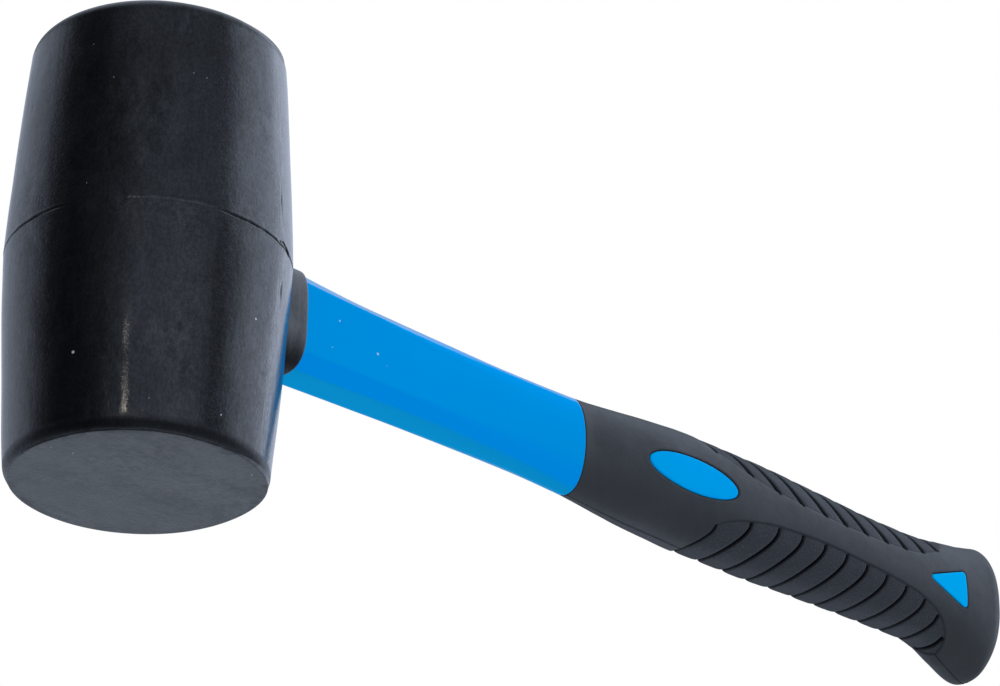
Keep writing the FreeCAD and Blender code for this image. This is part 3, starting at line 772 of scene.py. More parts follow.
def build_jacket():
    like, _ = ring(60.0)
    ang = np.arctan2(like[:, 1], like[:, 0])
    R = []

    def core_ring(x, grow=0.0):
        r = stadium(ang, CH_Y + grow, CH_Z + grow)
        return np.column_stack([np.full(len(ang), x), r * np.cos(ang), r * np.sin(ang)])
    R.append(core_ring(TENON_X, 0.35))
    R.append(oval_ring(TENON_X, like, TH_Y - 0.5, TH_Z - 0.5, TN))
    R.append(oval_ring(TENON_X + 0.15, like, TH_Y - 0.15, TH_Z - 0.15, TN))
    for x in np.linspace(TENON_X + 0.5, 39.9, 20):
        R.append(oval_ring(x, like, TH_Y, TH_Z, TN))
    R.append(ring_xyz(40.5, -0.3, at=40.0))
    for x in np.concatenate([np.arange(40.5, GRIP_X - 1.2, 1.2), [GRIP_X - 0.75, GRIP_X - 0.40]]):
        R.append(ring_xyz(float(x)))
    R.append(ring_xyz(GRIP_X - 0.2, -0.07))
    R.append(ring_xyz(GRIP_X - 0.06, -0.22))
    R.append(ring_xyz(GRIP_X, -0.45))
    for x in np.concatenate([[GRIP_X + 0.02], np.linspace(GRIP_X + 3, JACKET_END - 3, 60), [JACKET_END - 1.2, JACKET_END]]):
        g = 1.7 + 0.6 * float(smooth(GRIP_X, GRIP_X + 20, x)) + (1.4 if x >= JACKET_END - 0.1 else 0.4 if x > JACKET_END - 2 else 0)
        t, zc, h = profile(min(float(x), 318.0))
        zt, zb = min(zc + h, 19.4) - g, max(zc - h, -15.2) + g
        R.append(oval_ring(float(x), like, t - g, (zt - zb) / 2, 2.2, (zt + zb) / 2))
    R.append(core_ring(JACKET_END, 0.0))
    for x in np.linspace(JACKET_END - 4, TENON_X + 0.35, 30):
        R.append(core_ring(float(x)))
    o = closed_tube("handle_jacket_moulding", R, JACKET_M, replaces=("handle_jacket",), slot="blue_plastic", sharp=32)
    return o


def build_core():
    m = 120
    ang = np.arange(m) * 2 * np.pi / m

    def r(x, g):
        q = stadium(ang, 4.7 + g, 8.0 + g)
        return np.column_stack([np.full(m, x), q * np.cos(ang), q * np.sin(ang)])
    R = [r(TENON_X + 0.1, f) for f in (-3.2, -1.8, -0.6)]
    R += [r(TENON_X + 0.22, -0.18)] + [r(x, 0.0) for x in np.linspace(TENON_X + 0.5, CORE_END - 0.5, 24)] + [r(CORE_END, -0.4)]
    rows = np.vstack(R)
    # the sawn end is not quite flat
    k = 3 * m
    rows[:k, 0] += 0.10 * noise3(rows[:k] * [0, 1, 1], 2.2, 40)
    c = np.array([[TENON_X + 0.1, 0, 0], [CORE_END, 0, 0]])
    V = np.vstack([rows, c])
    F = [list(q) for q in tube_faces(len(R), m)] + [list(t) for t in fan_faces(0, len(R) * m, m, True)] + [list(t) for t in fan_faces((len(R) - 1) * m, len(R) * m + 1, m)]
    o = mesh_object("fibreglass_rod", V, F, FIBRE_M, replaces=("fibreglass_core",), slot="fibreglass", sharp=40)
    outward(o.data)
    return o


def solid_rings(name, rings_, material, **kw):
    """Rings of equal count joined in order, each end closed by a fan."""
    m, n = len(rings_[0]), len(rings_)
    c = np.array([rings_[0].mean(0), rings_[-1].mean(0)])
    V = np.vstack(rings_ + [c])
    F = [list(q) for q in tube_faces(n, m)] + [list(t) for t in fan_faces(0, n * m, m, True)] + [list(t) for t in fan_faces((n - 1) * m, n * m + 1, m)]
    o = mesh_object(name, V, F, material, **kw)
    outward(o.data)
    return o


def build_adhesive():
    """Resin that fills the blind end of the eye: a cup round and behind the end of the tenon."""
    m = 160
    ang = np.arange(m) * 2 * np.pi / m

    def r(x, hy, hz, n, f=1.0):
        q = superellipse(ang, hy, hz, n) * f
        return np.column_stack([np.full(m, x), q * np.cos(ang), q * np.sin(ang)])
    R = [r(ADH_X, 7.87, 13.57, 3.6, f) for f in (0.1, 0.5, 0.9)]
    R += [r(ADH_X + 0.1, 7.87, 13.57, 3.6, 0.985)]
    R += [r(x, 7.87, 13.57, 3.6) for x in (ADH_X + 0.4, ADH_X + 6, SLEEVE_X - 4, SLEEVE_X - 0.05)]
    R += [r(x, TH_Y + 0.03, TH_Z + 0.03, TN) for x in (SLEEVE_X - 0.05, SLEEVE_X - 4, ADH_X + 6, TENON_X - 0.04)]
    R += [r(TENON_X - 0.04, TH_Y + 0.03, TH_Z + 0.03, TN, f) for f in (0.9, 0.5, 0.1)]
    for i in (0, 1, 2):
        R[i][:, 0] += 0.03 * noise3(R[i] * [0, 1, 1], 5.0, 41)
    return solid_rings("eye_adhesive_bed", R, EPOXY_M, replaces=("eye_adhesive",), slot="epoxy", sharp=45)


def build_collar():
    """Flange against the barrel, and the thin sleeve that lines the near half of the eye."""
    R = []
    like, _ = ring(48.0)
    lid = (COL_ZT + COL_ZB) / 2

    def outer(x, off=0.0):
        return oval_ring(x, like, COL_Y + off, (COL_ZT - COL_ZB) / 2 + off, 3.6, lid)

    def on_barrel(pts, sink):
        """x of the head's surface under each ring point."""
        y, z = pts[:, 1], pts[:, 2]
        return np.sqrt(np.maximum(barrel_r(z) ** 2 - y ** 2, 0)) - sink
    for x in (SLEEVE_X, 5, 12, 20, 30):
        R.append(oval_ring(x, like, 7.85, 13.55, 3.6))
    q = oval_ring(33.5, like, 7.85, 13.55, 3.6)
    q[:, 0] = on_barrel(q, 0.5)
    R.append(q)
    q = outer(40.0, 0.02)
    q[:, 0] = on_barrel(q, 0.45)
    R.append(q)
    q = outer(40.0, 0.0)
    base = on_barrel(q, 0.0) + 0.08
    q[:, 0] = base
    R.append(q)
    last = COLLAR_X - 1.05
    def swept(q):
        """The flange's end sweeps back to the barrel below the handle."""
        return 1.2 * (np.maximum(-q[:, 2] - 5.0, 0) / 10.3) ** 2

    for u in (0.06, 0.3, 0.5, 0.7, 0.85, 1.0):
        q = outer(40.0, 0.14 * (1 - (1 - u) ** 2) - 0.14)
        q[:, 0] = base + np.maximum(last - swept(q) - base, 0.3) * u
        R.append(q)
    for a in np.linspace(0, 90, 9)[1:]:
        s, c = math.sin(math.radians(a)), math.cos(math.radians(a))
        q = outer(last + 1.05 * s, -0.80 * (1 - c))
        q[:, 0] = np.maximum(q[:, 0] - swept(q), base + 0.3 + 0.1 * s)
        R.append(q)
    for x in [COLLAR_X - 0.02] + list(np.linspace(COLLAR_X - 2.0, 41.0, 6)):
        q = ring_xyz(float(x), 0.03)
        q[:, 0] = np.minimum(q[:, 0], np.maximum(COLLAR_X - swept(q), base + 0.4))
        R.append(q)
    R.append(ring_xyz(40.5, -0.2, at=39.95))
    for x in np.linspace(39.8, SLEEVE_X, 10):
        R.append(oval_ring(x, like, TH_Y + 0.02, TH_Z + 0.02, TN))
    return closed_tube("neck_collar_moulding", R, COLLAR_M, replaces=("neck_collar",), slot="collar_elastomer", sharp=40)


# ---------------------------------------------------------------- grip
LOW_EDGE = [(206.7, -10.6), (208.8, -9.4), (211.4, -8.3), (215.5, -7.0), (220.2, -5.9), (226.0, -4.75), (232.2, -3.85), (242.8, -3.1), (253.1, -2.8),
            (262.8, -3.0), (272.6, -3.4), (281.5, -3.75), (290.6, -4.4), (296.0, -5.0), (300.0, -5.85), (305.5, -7.3), (308.3, -8.5), (310.5, -10.0),
            (312.8, -11.9), (314.4, -13.5), (315.8, -15.2), (316.8, -17.0)]
UP_EDGE = [(207.0, 13.5), (210.5, 12.1), (215.0, 10.6), (221.2, 8.95), (226.5, 7.95), (232.6, 7.2), (243.2, 6.5), (253.6, 6.2), (262.7, 5.95), (272.2, 6.1),
           (281.7, 6.5), (290.6, 7.2), (295.5, 7.9), (299.5, 8.9), (304.0, 10.6), (307.5, 12.4), (310.0, 14.4), (312.0, 16.6)]
# x and z of each groove's end by the smooth band, then x where it crosses the narrow face
LOW_G = [(206.7, -10.9, 202.4), (220.4, -6.5, 213.0), (232.5, -4.7, 223.8), (243.0, -3.75, 234.0), (253.1, -3.5, 244.0), (262.9, -3.6, 254.8), (272.4, -4.1, 265.0),
         (281.6, -4.6, 275.0), (291.0, -5.2, 285.3), (300.2, -6.6, 295.3), (307.9, -9.2, 305.6), (313.9, -13.75, 313.9)]
UP_G = [(207.0, 13.3, 200.6), (221.3, 9.3, 213.0), (232.7, 7.4, 222.8), (243.0, 6.75, 233.0), (253.5, 6.5, 243.6), (262.7, 6.3, 253.4), (272.2, 6.4, 262.6), (281.8, 6.9, 273.2),
        (290.8, 7.6, 283.4), (299.7, 9.4, 294.6), (307.7, 12.8, 304.8)]
OVAL = (196.0, 1.25, 17.8, 5.6, math.radians(-0.2))
TRI = [(300.2, 1.85), (319.4, 8.9), (319.4, -4.2)]
TRI_R = 1.25


def seg_distance(px, ps, pts):
    """Distance from points to a polyline, and the fraction of the way along it."""
    best = np.full(px.shape, 1e9)
    frac = np.zeros(px.shape)
    pts = np.array(pts, float)
    L = np.concatenate([[0], np.cumsum(np.hypot(*np.diff(pts, axis=0).T))])
    for i in range(len(pts) - 1):
        a, b = pts[i], pts[i + 1]
        d = b - a
        l2 = float(d @ d) + 1e-12
        t = np.clip(((px - a[0]) * d[0] + (ps - a[1]) * d[1]) / l2, 0, 1)
        q = np.hypot(px - a[0] - t * d[0], ps - a[1] - t * d[1])
        hit = q < best
        best[hit] = q[hit]
        frac[hit] = ((L[i] + t * (L[i + 1] - L[i])) / L[-1])[hit]
    return best, frac


def inside(px, ps, poly):
    """Even-odd test."""
    res = np.zeros(px.shape, bool)
    n = len(poly)
    for i in range(n):
        (x1, y1), (x2, y2) = poly[i], poly[(i + 1) % n]
        c = (y1 > ps) != (y2 > ps)
        xx = (x2 - x1) * (ps - y1) / ((y2 - y1) if abs(y2 - y1) > 1e-12 else 1e-12) + x1
        res ^= c & (px < xx)
    return res


def oval_sd(x, z):
    cx, cz, a, b, tilt = OVAL
    u = (x - cx) * math.cos(tilt) + (z - cz) * math.sin(tilt)
    v = -(x - cx) * math.sin(tilt) + (z - cz) * math.cos(tilt)
    q = np.sqrt((u / a) ** 2 + (v / b) ** 2) + 1e-9
    g = np.sqrt((u / a ** 2) ** 2 + (v / b ** 2) ** 2) / q + 1e-9
    return (q - 1) / g


def tri_outline(count=20):
    """Rounded triangle outline in x, z."""
    P = np.array(TRI)
    pts = []
    for i in range(3):
        a, p, e = P[i - 1], P[i], P[(i + 1) % 3]
        ua, ue = (a - p) / np.linalg.norm(a - p), (e - p) / np.linalg.norm(e - p)
        half = math.acos(float(ua @ ue)) / 2
        r = TRI_R * (0.8 if i == 0 else 1.0)
        cut = r / math.tan(half)
        c = p + (ua + ue) / np.linalg.norm(ua + ue) * r / math.sin(half)
        s0, s1 = p + ua * cut, p + ue * cut
        a0, a1 = math.atan2(*(s0 - c)[::-1]), math.atan2(*(s1 - c)[::-1])
        da = (a1 - a0 + math.pi) % (2 * math.pi) - math.pi
        for w in np.linspace(0, 1, 9):
            pts.append(c + r * np.array([math.cos(a0 + da * w), math.sin(a0 + da * w)]))
        q = P[(i + 1) % 3]
        b2 = P[(i + 2) % 3]
        uq, ub = (p - q) / np.linalg.norm(p - q), (b2 - q) / np.linalg.norm(b2 - q)
        h2 = math.acos(float(uq @ ub)) / 2
        r2 = TRI_R * (0.8 if (i + 1) % 3 == 0 else 1.0)
        s2 = q + uq * r2 / math.tan(h2)
        for w in np.linspace(0, 1, count)[1:-1]:
            pts.append(s1 + (s2 - s1) * w)
    return np.array(pts)


def groove_line(g, top):
    """A groove's centre line as (x, arc length) from the narrow face to the band; near the band it stands square, then it sweeps forward."""
    x1, z1, x0 = g
    s1 = arc_at(x1, z1)
    if top:
        s1 = dense(x1)[2][-1] - s1
    u = np.linspace(0, 1, 30)
    s = s1 * u
    k = u ** 1.25
    k = u ** 1.45 if top else k * k * (3 - 2 * k)
    return np.column_stack([x0 + (x1 - x0) * k, s])


def build_grip():
    step = 0.27
    flat = BUTT_X - BUTT_R
    xs = [GRIP_X + 0.02]
    xs += list(np.arange(GRIP_X + 0.18, GRIP_X + 0.7, 0.13))
    xs += list(np.arange(xs[-1] + step, flat, step))
    ends = [flat + BUTT_R * math.sin(math.radians(a)) for a in np.linspace(0, 90, 40)]
    xs = np.array(xs + ends)
    m = 352
    P, S, H = np.zeros((len(xs), m, 3)), np.zeros((len(xs), m)), np.zeros(len(xs))
    for i, x in enumerate(xs):
        y, z, s = dense(float(x))
        half = s[-1]
        q = (np.arange(m) / m) * 2 * half           # underside -> -Y -> top -> +Y
        left = q <= half
        sq = np.where(left, q, 2 * half - q)
        P[i, :, 0] = x
        P[i, :, 1] = np.interp(sq, s, y) * np.where(left, 1, -1)
        P[i, :, 2] = np.interp(sq, s, z)
        S[i], H[i] = sq, half
    X, Z = P[..., 0], P[..., 2]
    T = H[:, None] - S
    D = np.zeros(X.shape)
    panel, cavity, wear = np.zeros(X.shape), np.zeros(X.shape), np.zeros(X.shape)
    # panels, in the plane of x and arc length from the narrow face
    near = np.full(X.shape, 9.0)
    for edge, grooves, A, top in ((LOW_EDGE, LOW_G, S, False), (UP_EDGE, UP_G, T, True)):
        arc = [(x, (dense(x)[2][-1] - arc_at(x, z)) if top else arc_at(x, z)) for x, z in edge]
        g0 = grooves[0]
        first = groove_line((g0[0], g0[1], g0[2] - 2.3) if top else g0, top)
        poly = [(first[0, 0], -6.0)] + [tuple(p) for p in first[::3]] + arc + [(arc[-1][0] + 0.8, -6.0)]
        rows = (xs > 178) & (xs < 334)
        px, ps = X[rows], A[rows]
        border, _ = seg_distance(px, ps, arc)
        ins = inside(px, ps, poly)
        left, _ = seg_distance(px, ps, first)
        edge_d = np.minimum(border, left)
        sd = np.where(ins, edge_d, -edge_d)
        pan = smooth(-0.10, 0.35, sd)
        panel[rows] = np.maximum(panel[rows], pan)
        # the smooth band stands a little proud of the panels and falls to them over a short round
        D[rows] += 0.22 * (1 - smooth(-0.55, 0.20, sd)) * smooth(-13.0, -1.5, sd)
        # painted shade: a dark line in the small step along the panel border
        line = np.exp(-((border - 0.10) / 0.26) ** 2) * (~(sd < -0.6))
        D[rows] -= 0.05 * line
        cavity[rows] = np.maximum(cavity[rows], (0.22 if top else 0.34) * line)
        for g in grooves:
            c = groove_line((g[0], g[1], g[2] - 2.3) if top else g, top)
            sel = (xs > c[:, 0].min() - 4) & (xs < c[:, 0].max() + 4)
            gx, gs = X[sel], A[sel]
            d, _ = seg_distance(gx, gs, c)
            near[sel] = np.minimum(near[sel], d - (0.50 if top and g is grooves[0] else 0.22 if top else 0.14))
    cut = 1 - smooth(0.30, 0.66, near)
    D -= 1.0 * cut
    # each rib is crowned, so it falls away a little towards its grooves
    D -= 0.26 * np.exp(-(near / 1.25) ** 2) * panel
    # painted shade: dark groove floors
    cavity = np.maximum(cavity, 1 - smooth(0.36, 0.70, near))
    # lighter colour along the lips beside the grooves, on the panels
    lip = np.exp(-((near - 0.82) / 0.20) ** 2) * panel
    wear = np.maximum(wear, 0.35 * lip)
    # moulding flash along the underside and the top
    bare = 1 - panel
    for A in (S, T):
        wander = 0.10 * noise3(np.stack([X, 0 * X, 0 * X], -1), 30.0, 21)
        d = np.abs(A + wander)
        run = bare * smooth(BUTT_X - 1.0, BUTT_X - 9.0, X)
        D -= 0.16 * np.exp(-((d - 0.0) / 0.26) ** 2) * run
        D += 0.05 * np.exp(-((d - 0.65) / 0.35) ** 2) * run
        # painted shade: a dark line along the flash
        cavity = np.maximum(cavity, 0.55 * np.exp(-(d / 0.28) ** 2) * run)
    # pockets for the inlays
    cheek = (Z > -9) & (Z < 12)
    osd = np.where(cheek, oval_sd(X, Z), 9.0)
    outline = tri_outline()
    tr = np.full(X.shape, 9.0)
    rows = (xs > 298) & (xs < 323)
    td, _ = seg_distance(X[rows], Z[rows], np.vstack([outline, outline[:1]]))
    tin = inside(X[rows], Z[rows], [tuple(p) for p in outline])
    tr[rows] = np.where(cheek[rows], np.where(tin, -td, td), 9.0)
    for sd in (osd, tr):
        D -= 1.25 * (1 - smooth(-0.22, 0.10, sd))
        D -= 0.10 * np.exp(-(np.maximum(sd, 0) / 0.34) ** 2) * (sd > -0.1)
        D += 0.03 * np.exp(-((sd - 1.0) / 0.5) ** 2)
        # painted shade: a dark outline round each inlay pocket
        cavity = np.maximum(cavity, 0.65 * np.exp(-(sd / 0.26) ** 2))
    # joint with the jacket
    D -= 0.22 * np.exp(-((X - GRIP_X) / 0.16) ** 2)
    # the soft moulding is never quite even
    D += (0.05 * noise3(P, 26.0, 30) + 0.018 * noise3(P, 7.0, 31)) * smooth(GRIP_X, GRIP_X + 4, X)
    du = np.gradient(P, axis=0)
    dv = np.roll(P, -1, 1) - np.roll(P, 1, 1)
    N = np.cross(dv, du)
    N /= np.linalg.norm(N, axis=2)[..., None] + 1e-12
    centre = np.stack([X, 0 * X, np.repeat(((P[:, :, 2].max(1) + P[:, :, 2].min(1)) / 2)[:, None], m, 1)], -1)
    flip = np.sum(N * (P - centre), 2)
    if flip.mean() < 0:
        N = -N
    N[-1] = [1, 0, 0]
    P = P + N * D[..., None]
    rings_ = [P[i] for i in range(len(xs))]
    att = {"panel": [panel], "cavity": [cavity], "wear": [wear]}
    # flat end of the butt
    end = P[-1]
    mid = np.array([BUTT_X, 0.0, float(end[:, 2].mean())])
    # the end face shrinks to a short upright line, so its rings stay even
    hz = (end[:, 2].max() - end[:, 2].min()) / 2
    hy = end[:, 1].max()
    spine = np.column_stack([np.full(m, BUTT_X), np.zeros(m), mid[2] + (end[:, 2] - mid[2]) * (1 - hy / hz)])
    for f in (0.85, 0.65, 0.42, 0.2, 0.04):
        q = spine + (end - spine) * f
        q[:, 0] = BUTT_X + 0.05 * (1 - f)
        rings_.append(q)
        for k in att:
            att[k].append(np.zeros((1, m)))
    nOut = len(rings_)
    # inside: back from the butt to the jacket's end and along it
    like, _ = ring(60.0)
    y0 = rings_[0]
    inner = []
    for x in np.concatenate([[JACKET_END + 0.05], np.linspace(JACKET_END - 3, GRIP_X + 3, 60), [GRIP_X + 0.02]]):
        g = 1.68 + 0.6 * float(smooth(GRIP_X, GRIP_X + 20, x))
        t, zc, h = profile(min(float(x), 318.0))
        zt, zb = min(zc + h, 19.4) - g, max(zc - h, -15.2) + g
        c0 = (zt + zb) / 2
        ang = np.arctan2(y0[:, 2] - y0[:, 2].mean(), y0[:, 1])
        r = superellipse(ang, t - g, (zt - zb) / 2, 2.2)
        inner.append(np.column_stack([np.full(m, float(x)), r * np.cos(ang), r * np.sin(ang) + c0]))
    V = np.vstack(rings_ + [[[BUTT_X + 0.05, 0, mid[2]]]] + inner + [[[JACKET_END + 0.05, 0, inner[0][:, 2].mean()]]])
    F = [list(q) for q in tube_faces(nOut, m)]
    c1 = nOut * m
    F += [list(t) for t in fan_faces((nOut - 1) * m, c1, m)]
    i0 = c1 + 1
    F += [list(q) for q in tube_faces(len(inner), m, first=i0)]
    F += [list(t) for t in fan_faces(i0, i0 + len(inner) * m, m, flip=True)]
    j = np.arange(m)
    k = (j + 1) % m
    lastin = i0 + (len(inner) - 1) * m
    F += [list(q) for q in np.stack([lastin + j, j, k, lastin + k], -1)]
    pad = np.zeros(1 + len(inner) * m + 1)
    attrs = {key: np.concatenate([np.vstack(v).reshape(-1), pad]) for key, v in att.items()}
    o = mesh_object("grip_sleeve_moulding", V, F, GRIP_M, replaces=("grip_sleeve",), slot="grip_elastomer", attrs=attrs)
    outward(o.data)
    shade(o.data, 70)
    return o


def inlay(name, outline, centre, sign, node, material, proud=0.22, edge=0.55, gap=0.12):
    """A domed plastic plug set into the grip's cheek: outline is in x, z."""
    outline = np.array(outline)
    c = np.array(centre)
    m = len(outline)
    # inward offset along the outline's own normal
    t = np.roll(outline, -1, 0) - np.roll(outline, 1, 0)
    nrm = np.column_stack([t[:, 1], -t[:, 0]])
    nrm /= np.linalg.norm(nrm, axis=1)[:, None]
    if np.sum(nrm * (outline - c)) < 0:
        nrm = -nrm
    rings_ = []

    def put(inset, height, scale=None):
        p = outline - nrm * inset
        if scale is not None:
            p = c + (p - c) * scale
        y = np.array([side_y(float(a), float(b)) for a, b in p]) - height
        rings_.append(np.column_stack([p[:, 0], y * (-sign), p[:, 1]]))
    put(gap, -1.15)
    put(gap, -0.35)
    for a in np.linspace(0, 90, 7):
        s, k = math.sin(math.radians(a)), math.cos(math.radians(a))
        put(gap + edge * (1 - k), proud - edge * 0.85 * (1 - s))
    for f in (0.86, 0.7, 0.54, 0.38, 0.22, 0.08):
        put(gap + edge, proud + 0.03 * (1 - f), f)
    yc = (side_y(*c) - proud - 0.03) * (-sign)
    yb = (side_y(*c) + 1.15) * (-sign)
    V = np.vstack(rings_ + [[[c[0], yc, c[1]]], [[c[0], yb, c[1]]]])
    n = len(rings_)
    F = [list(q) for q in tube_faces(n, m)] + [list(t_) for t_ in fan_faces((n - 1) * m, n * m, m)] + [list(t_) for t_ in fan_faces(0, n * m + 1, m, True)]
    o = mesh_object(name, V, F, material, replaces=(node,), slot="blue_inlay", sharp=55)
    outward(o.data)
    shade(o.data, 55)
    return o


HEAD = build_head()
JACKET = build_jacket()
build_core()
build_adhesive()
COLLAR = build_collar()
GRIP = build_grip()
_cx, _cz, _a, _b, _tilt = OVAL
_ph = np.linspace(0, 2 * np.pi, 121)[:-1]
oval_line = np.column_stack([_cx + _a * np.cos(_ph) * math.cos(_tilt) - _b * np.sin(_ph) * math.sin(_tilt),
                             _cz + _a * np.cos(_ph) * math.sin(_tilt) + _b * np.sin(_ph) * math.cos(_tilt)])
tri_line = tri_outline()
for side_name, sign in (("left", 1), ("right", -1)):
    inlay("oval_inlay_" + side_name, oval_line, (_cx, _cz), sign, "oval_badge_" + side_name, INLAY_M)
    inlay("triangle_plug_" + side_name, tri_line, tuple(tri_line.mean(0)), sign, "triangle_inlay_" + side_name, PLUG_M, edge=0.45)

# ---------------------------------------------------------------- floor: pale, seen only from above, so that the low camera looks past it
def build_floor():
    n = Nodes("floor")
    geo = n.new("ShaderNodeNewGeometry")
    d = n.vec("LENGTH", n.vec("MULTIPLY", n.obj, (1.0, 1.0, 0.0)))
    fade = n.ramp(d, 0.55, 1.25)
    clear = n.math("MAXIMUM", fade, geo.outputs["Backfacing"])
    tr = n.new("ShaderNodeBsdfTransparent")
    col = n.mix(n.noise(9, 3), (0.86, 0.79, 0.65), (0.89, 0.82, 0.68))
    n.set(color=col, rough=0.7, spec=0.15)
    mix = n.new("ShaderNodeMixShader")
    n.t.links.new(clear, mix.inputs[0])
    n.t.links.new(n.bsdf.outputs[0], mix.inputs[1])
    n.t.links.new(tr.outputs[0], mix.inputs[2])
    n.t.links.new(mix.outputs[0], n.out.inputs[0])
    me = bpy.data.meshes.new("floor")
    s = 1.5
    me.from_pydata([(-s, -s, 0), (s, -s, 0), (s, s, 0), (-s, s, 0)], [], [(0, 1, 2, 3)])
    me.materials.append(n.m)
    o = bpy.data.objects.new("floor", me)
    o.location = (0.13, 0, SIZE["cad"][0][2] - 0.0002)
    bpy.context.scene.collection.objects.link(o)
    o.visible_shadow = o.visible_diffuse = o.visible_glossy = o.visible_transmission = False
    o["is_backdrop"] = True


build_floor()

# ---------------------------------------------------------------- camera
CAM_ROT = ((0.71329531, -0.70081352, 0.00837886), (0.31978975, 0.31480078, -0.8936638), (0.623654, 0.64012567, 0.4486589))
cam_data = bpy.data.cameras.new("camera")
cam_data.lens, cam_data.sensor_width, cam_data.sensor_fit = 3798.09 * 36.0 / 1000.0, 36.0, "HORIZONTAL"
cam_data.clip_start, cam_data.clip_end = 0.05, 20.0
cam = bpy.data.objects.new("camera", cam_data)
bpy.context.scene.collection.objects.link(cam)
rot = Matrix((CAM_ROT[0], tuple(-a for a in CAM_ROT[1]), tuple(-a for a in CAM_ROT[2]))).transposed()
cam.matrix_world = Matrix.Translation((-0.54329973, -0.68863905, -0.45894907 + ZC)) @ rot.to_4x4()
bpy.context.scene.camera = cam


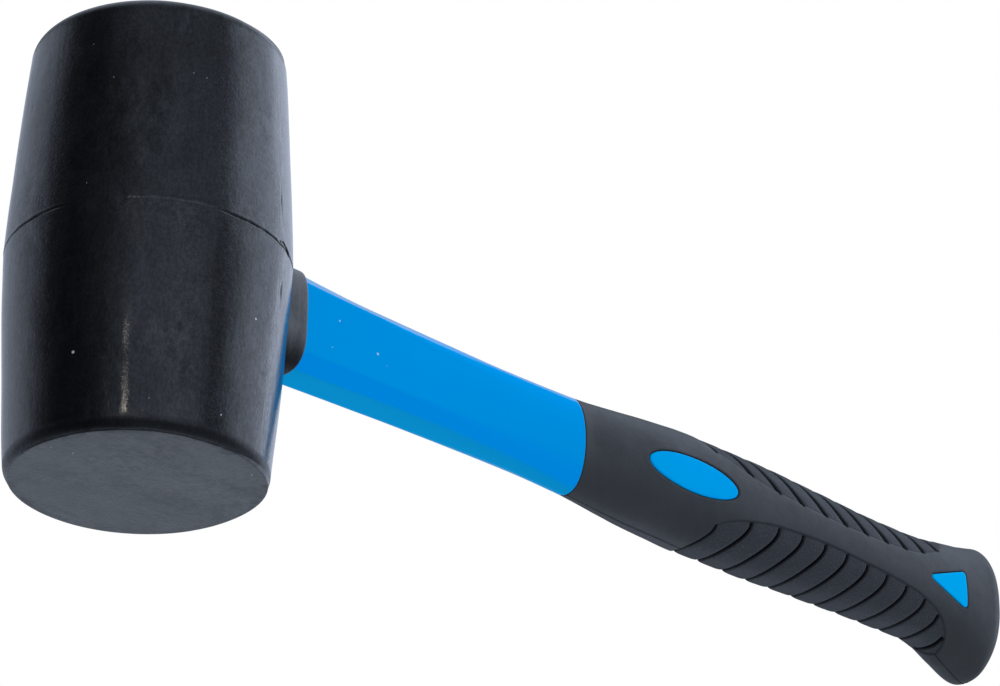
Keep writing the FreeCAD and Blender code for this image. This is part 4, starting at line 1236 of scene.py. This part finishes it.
# ---------------------------------------------------------------- light: a white tent, dark towards the camera
def build_world():
    w = bpy.data.worlds.new("tent")
    bpy.context.scene.world = w
    w.use_nodes = True
    t = w.node_tree
    t.nodes.clear()
    out = t.nodes.new("ShaderNodeOutputWorld")
    tc = t.nodes.new("ShaderNodeTexCoord")

    def m(op, a, b=0.0):
        n = t.nodes.new("ShaderNodeMath")
        n.operation = op
        for s, v in ((n.inputs[0], a), (n.inputs[1], b)):
            if isinstance(v, bpy.types.NodeSocket):
                t.links.new(v, s)
            else:
                s.default_value = v
        return n.outputs[0]

    def dot(v):
        n = t.nodes.new("ShaderNodeVectorMath")
        n.operation = "DOT_PRODUCT"
        t.links.new(tc.outputs["Generated"], n.inputs[0])
        n.inputs[1].default_value = v
        return n.outputs["Value"]
    toward, right, up = dot((-0.698, -0.716, 0.0)), dot((0.716, -0.698, 0.0)), dot((0, 0, 1))
    phi = m("DIVIDE", m("ARCTAN2", right, toward), 2 * math.pi)
    phi = m("ADD", phi, 0.5)                       # 0.5 is towards the camera, 0.75 is the image's right
    peak = 2.5

    def around(stops):
        """Brightness round the tent, from (degrees from the camera's side, brightness) pairs."""
        ramp = t.nodes.new("ShaderNodeValToRGB")
        t.links.new(phi, ramp.inputs[0])
        ramp.color_ramp.interpolation = "LINEAR"
        cr = ramp.color_ramp
        while len(cr.elements) > 1:
            cr.elements.remove(cr.elements[-1])
        for i, (a, v) in enumerate(stops):
            e = cr.elements[0] if i == 0 else cr.elements.new((a / 360.0) + 0.5)
            e.position = (a / 360.0) + 0.5
            e.color = (v / peak, v / peak, v / peak, 1)
        return m("MULTIPLY", ramp.outputs[0], peak)
    left = [(-180, 0.70), (-150, 0.50), (-127, 0.68), (-108, 0.72), (-97, 0.60), (-90, 0.36), (-82, 0.13), (-72, 0.075), (-58, 0.06), (-48, 0.075), (-38, 0.14), (-25, 0.20)]
    high = around(left + [(-12, 0.34), (-3, 0.44), (10, 0.42), (25, 0.46), (40, 0.46), (52, 0.43), (61, 0.38), (67, 0.37), (74, 0.84), (84, 1.38), (96, 1.55), (112, 1.45),
                          (125, 1.38), (138, 1.85), (150, 1.25), (165, 0.95), (180, 0.70)])
    low = around(left + [(-12, 0.46), (-3, 0.66), (10, 0.74), (20, 0.89), (32, 1.00), (45, 0.95), (54, 0.78), (61, 0.42), (67, 0.22), (73, 0.34), (79, 0.62), (85, 0.96), (92, 1.26),
                         (101, 1.48), (112, 1.55), (122, 1.40), (138, 2.1), (150, 1.25), (165, 0.95), (180, 0.70)])
    below = around([(-180, 1.15), (-150, 0.90), (-125, 0.45), (-100, 0.25), (-80, 0.08), (-60, 0.03), (-40, 0.05), (-15, 0.12), (15, 0.20), (50, 0.20), (75, 0.20), (95, 0.30), (120, 0.45), (145, 0.80), (165, 1.10), (180, 1.15)])

    def step(x, a, b):
        n = t.nodes.new("ShaderNodeMapRange")
        n.interpolation_type = "SMOOTHSTEP"
        t.links.new(x, n.inputs["Value"])
        n.inputs["From Min"].default_value, n.inputs["From Max"].default_value = a, b
        return n.outputs[0]

    def blend(a, b, f):
        return m("ADD", m("MULTIPLY", a, m("SUBTRACT", 1.0, f)), m("MULTIPLY", b, f))
    v = blend(low, high, step(up, 0.28, 0.58))
    v = blend(v, 1.15, step(up, 0.72, 0.96))
    v = blend(v, below, step(m("MULTIPLY", up, -1.0), -0.20, 0.30))
    col = t.nodes.new("ShaderNodeCombineColor")
    for i, k in enumerate((0.885, 1.0, 1.24)):
        t.links.new(m("MULTIPLY", v, k), col.inputs[i])
    bg = t.nodes.new("ShaderNodeBackground")
    t.links.new(col.outputs[0], bg.inputs[0])
    white = t.nodes.new("ShaderNodeBackground")
    white.inputs[0].default_value = (1, 1, 1, 1)
    white.inputs[1].default_value = 1.0
    lp = t.nodes.new("ShaderNodeLightPath")
    mix = t.nodes.new("ShaderNodeMixShader")
    t.links.new(lp.outputs["Is Camera Ray"], mix.inputs[0])
    t.links.new(bg.outputs[0], mix.inputs[1])
    t.links.new(white.outputs[0], mix.inputs[2])
    t.links.new(mix.outputs[0], out.inputs[0])


build_world()


def area(name, place, target, size, watts, colour=(1, 1, 1), glossy=True):
    d = bpy.data.lights.new(name, "AREA")
    d.shape, d.size, d.size_y, d.energy, d.color = "RECTANGLE", size[0], size[1], watts, colour
    o = bpy.data.objects.new(name, d)
    bpy.context.scene.collection.objects.link(o)
    o.location = place
    o.visible_glossy = glossy
    o.rotation_mode = "QUATERNION"
    o.rotation_quaternion = (Vector(target) - Vector(place)).to_track_quat("-Z", "Y")
    return o


# a small warm lamp above the camera, which draws the thin streak down the head
_s = Vector((-0.0235, -0.0235, -0.054 + ZC))
area("lamp", _s + Vector((-0.747, -0.601, 0.270)) * 1.4, _s, (0.085, 0.026), 0.190, (1.0, 0.90, 0.78))
area("lamp_skirt", _s + Vector((-0.747, -0.601, 0.297)) * 1.4, _s, (0.10, 0.05), 0.008, (1.0, 0.95, 0.90))

# a broad soft fill over the near cheek
area("fill", (-0.10, -1.15, 0.42 + ZC), (0.10, 0, ZC), (1.1, 1.1), 2.7, (0.94, 0.98, 1.06), glossy=False)
area("fill_low", (0.12, -0.22, ZC - 1.2), (0.10, 0, ZC), (1.1, 1.1), 6.0, (0.92, 0.98, 1.08), glossy=False)

bpy.context.scene.view_settings.view_transform = "Standard"
bpy.context.scene.view_settings.look = "None"

_lo, _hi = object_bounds()
SIZE["visual"] = [list(_lo), list(_hi)]
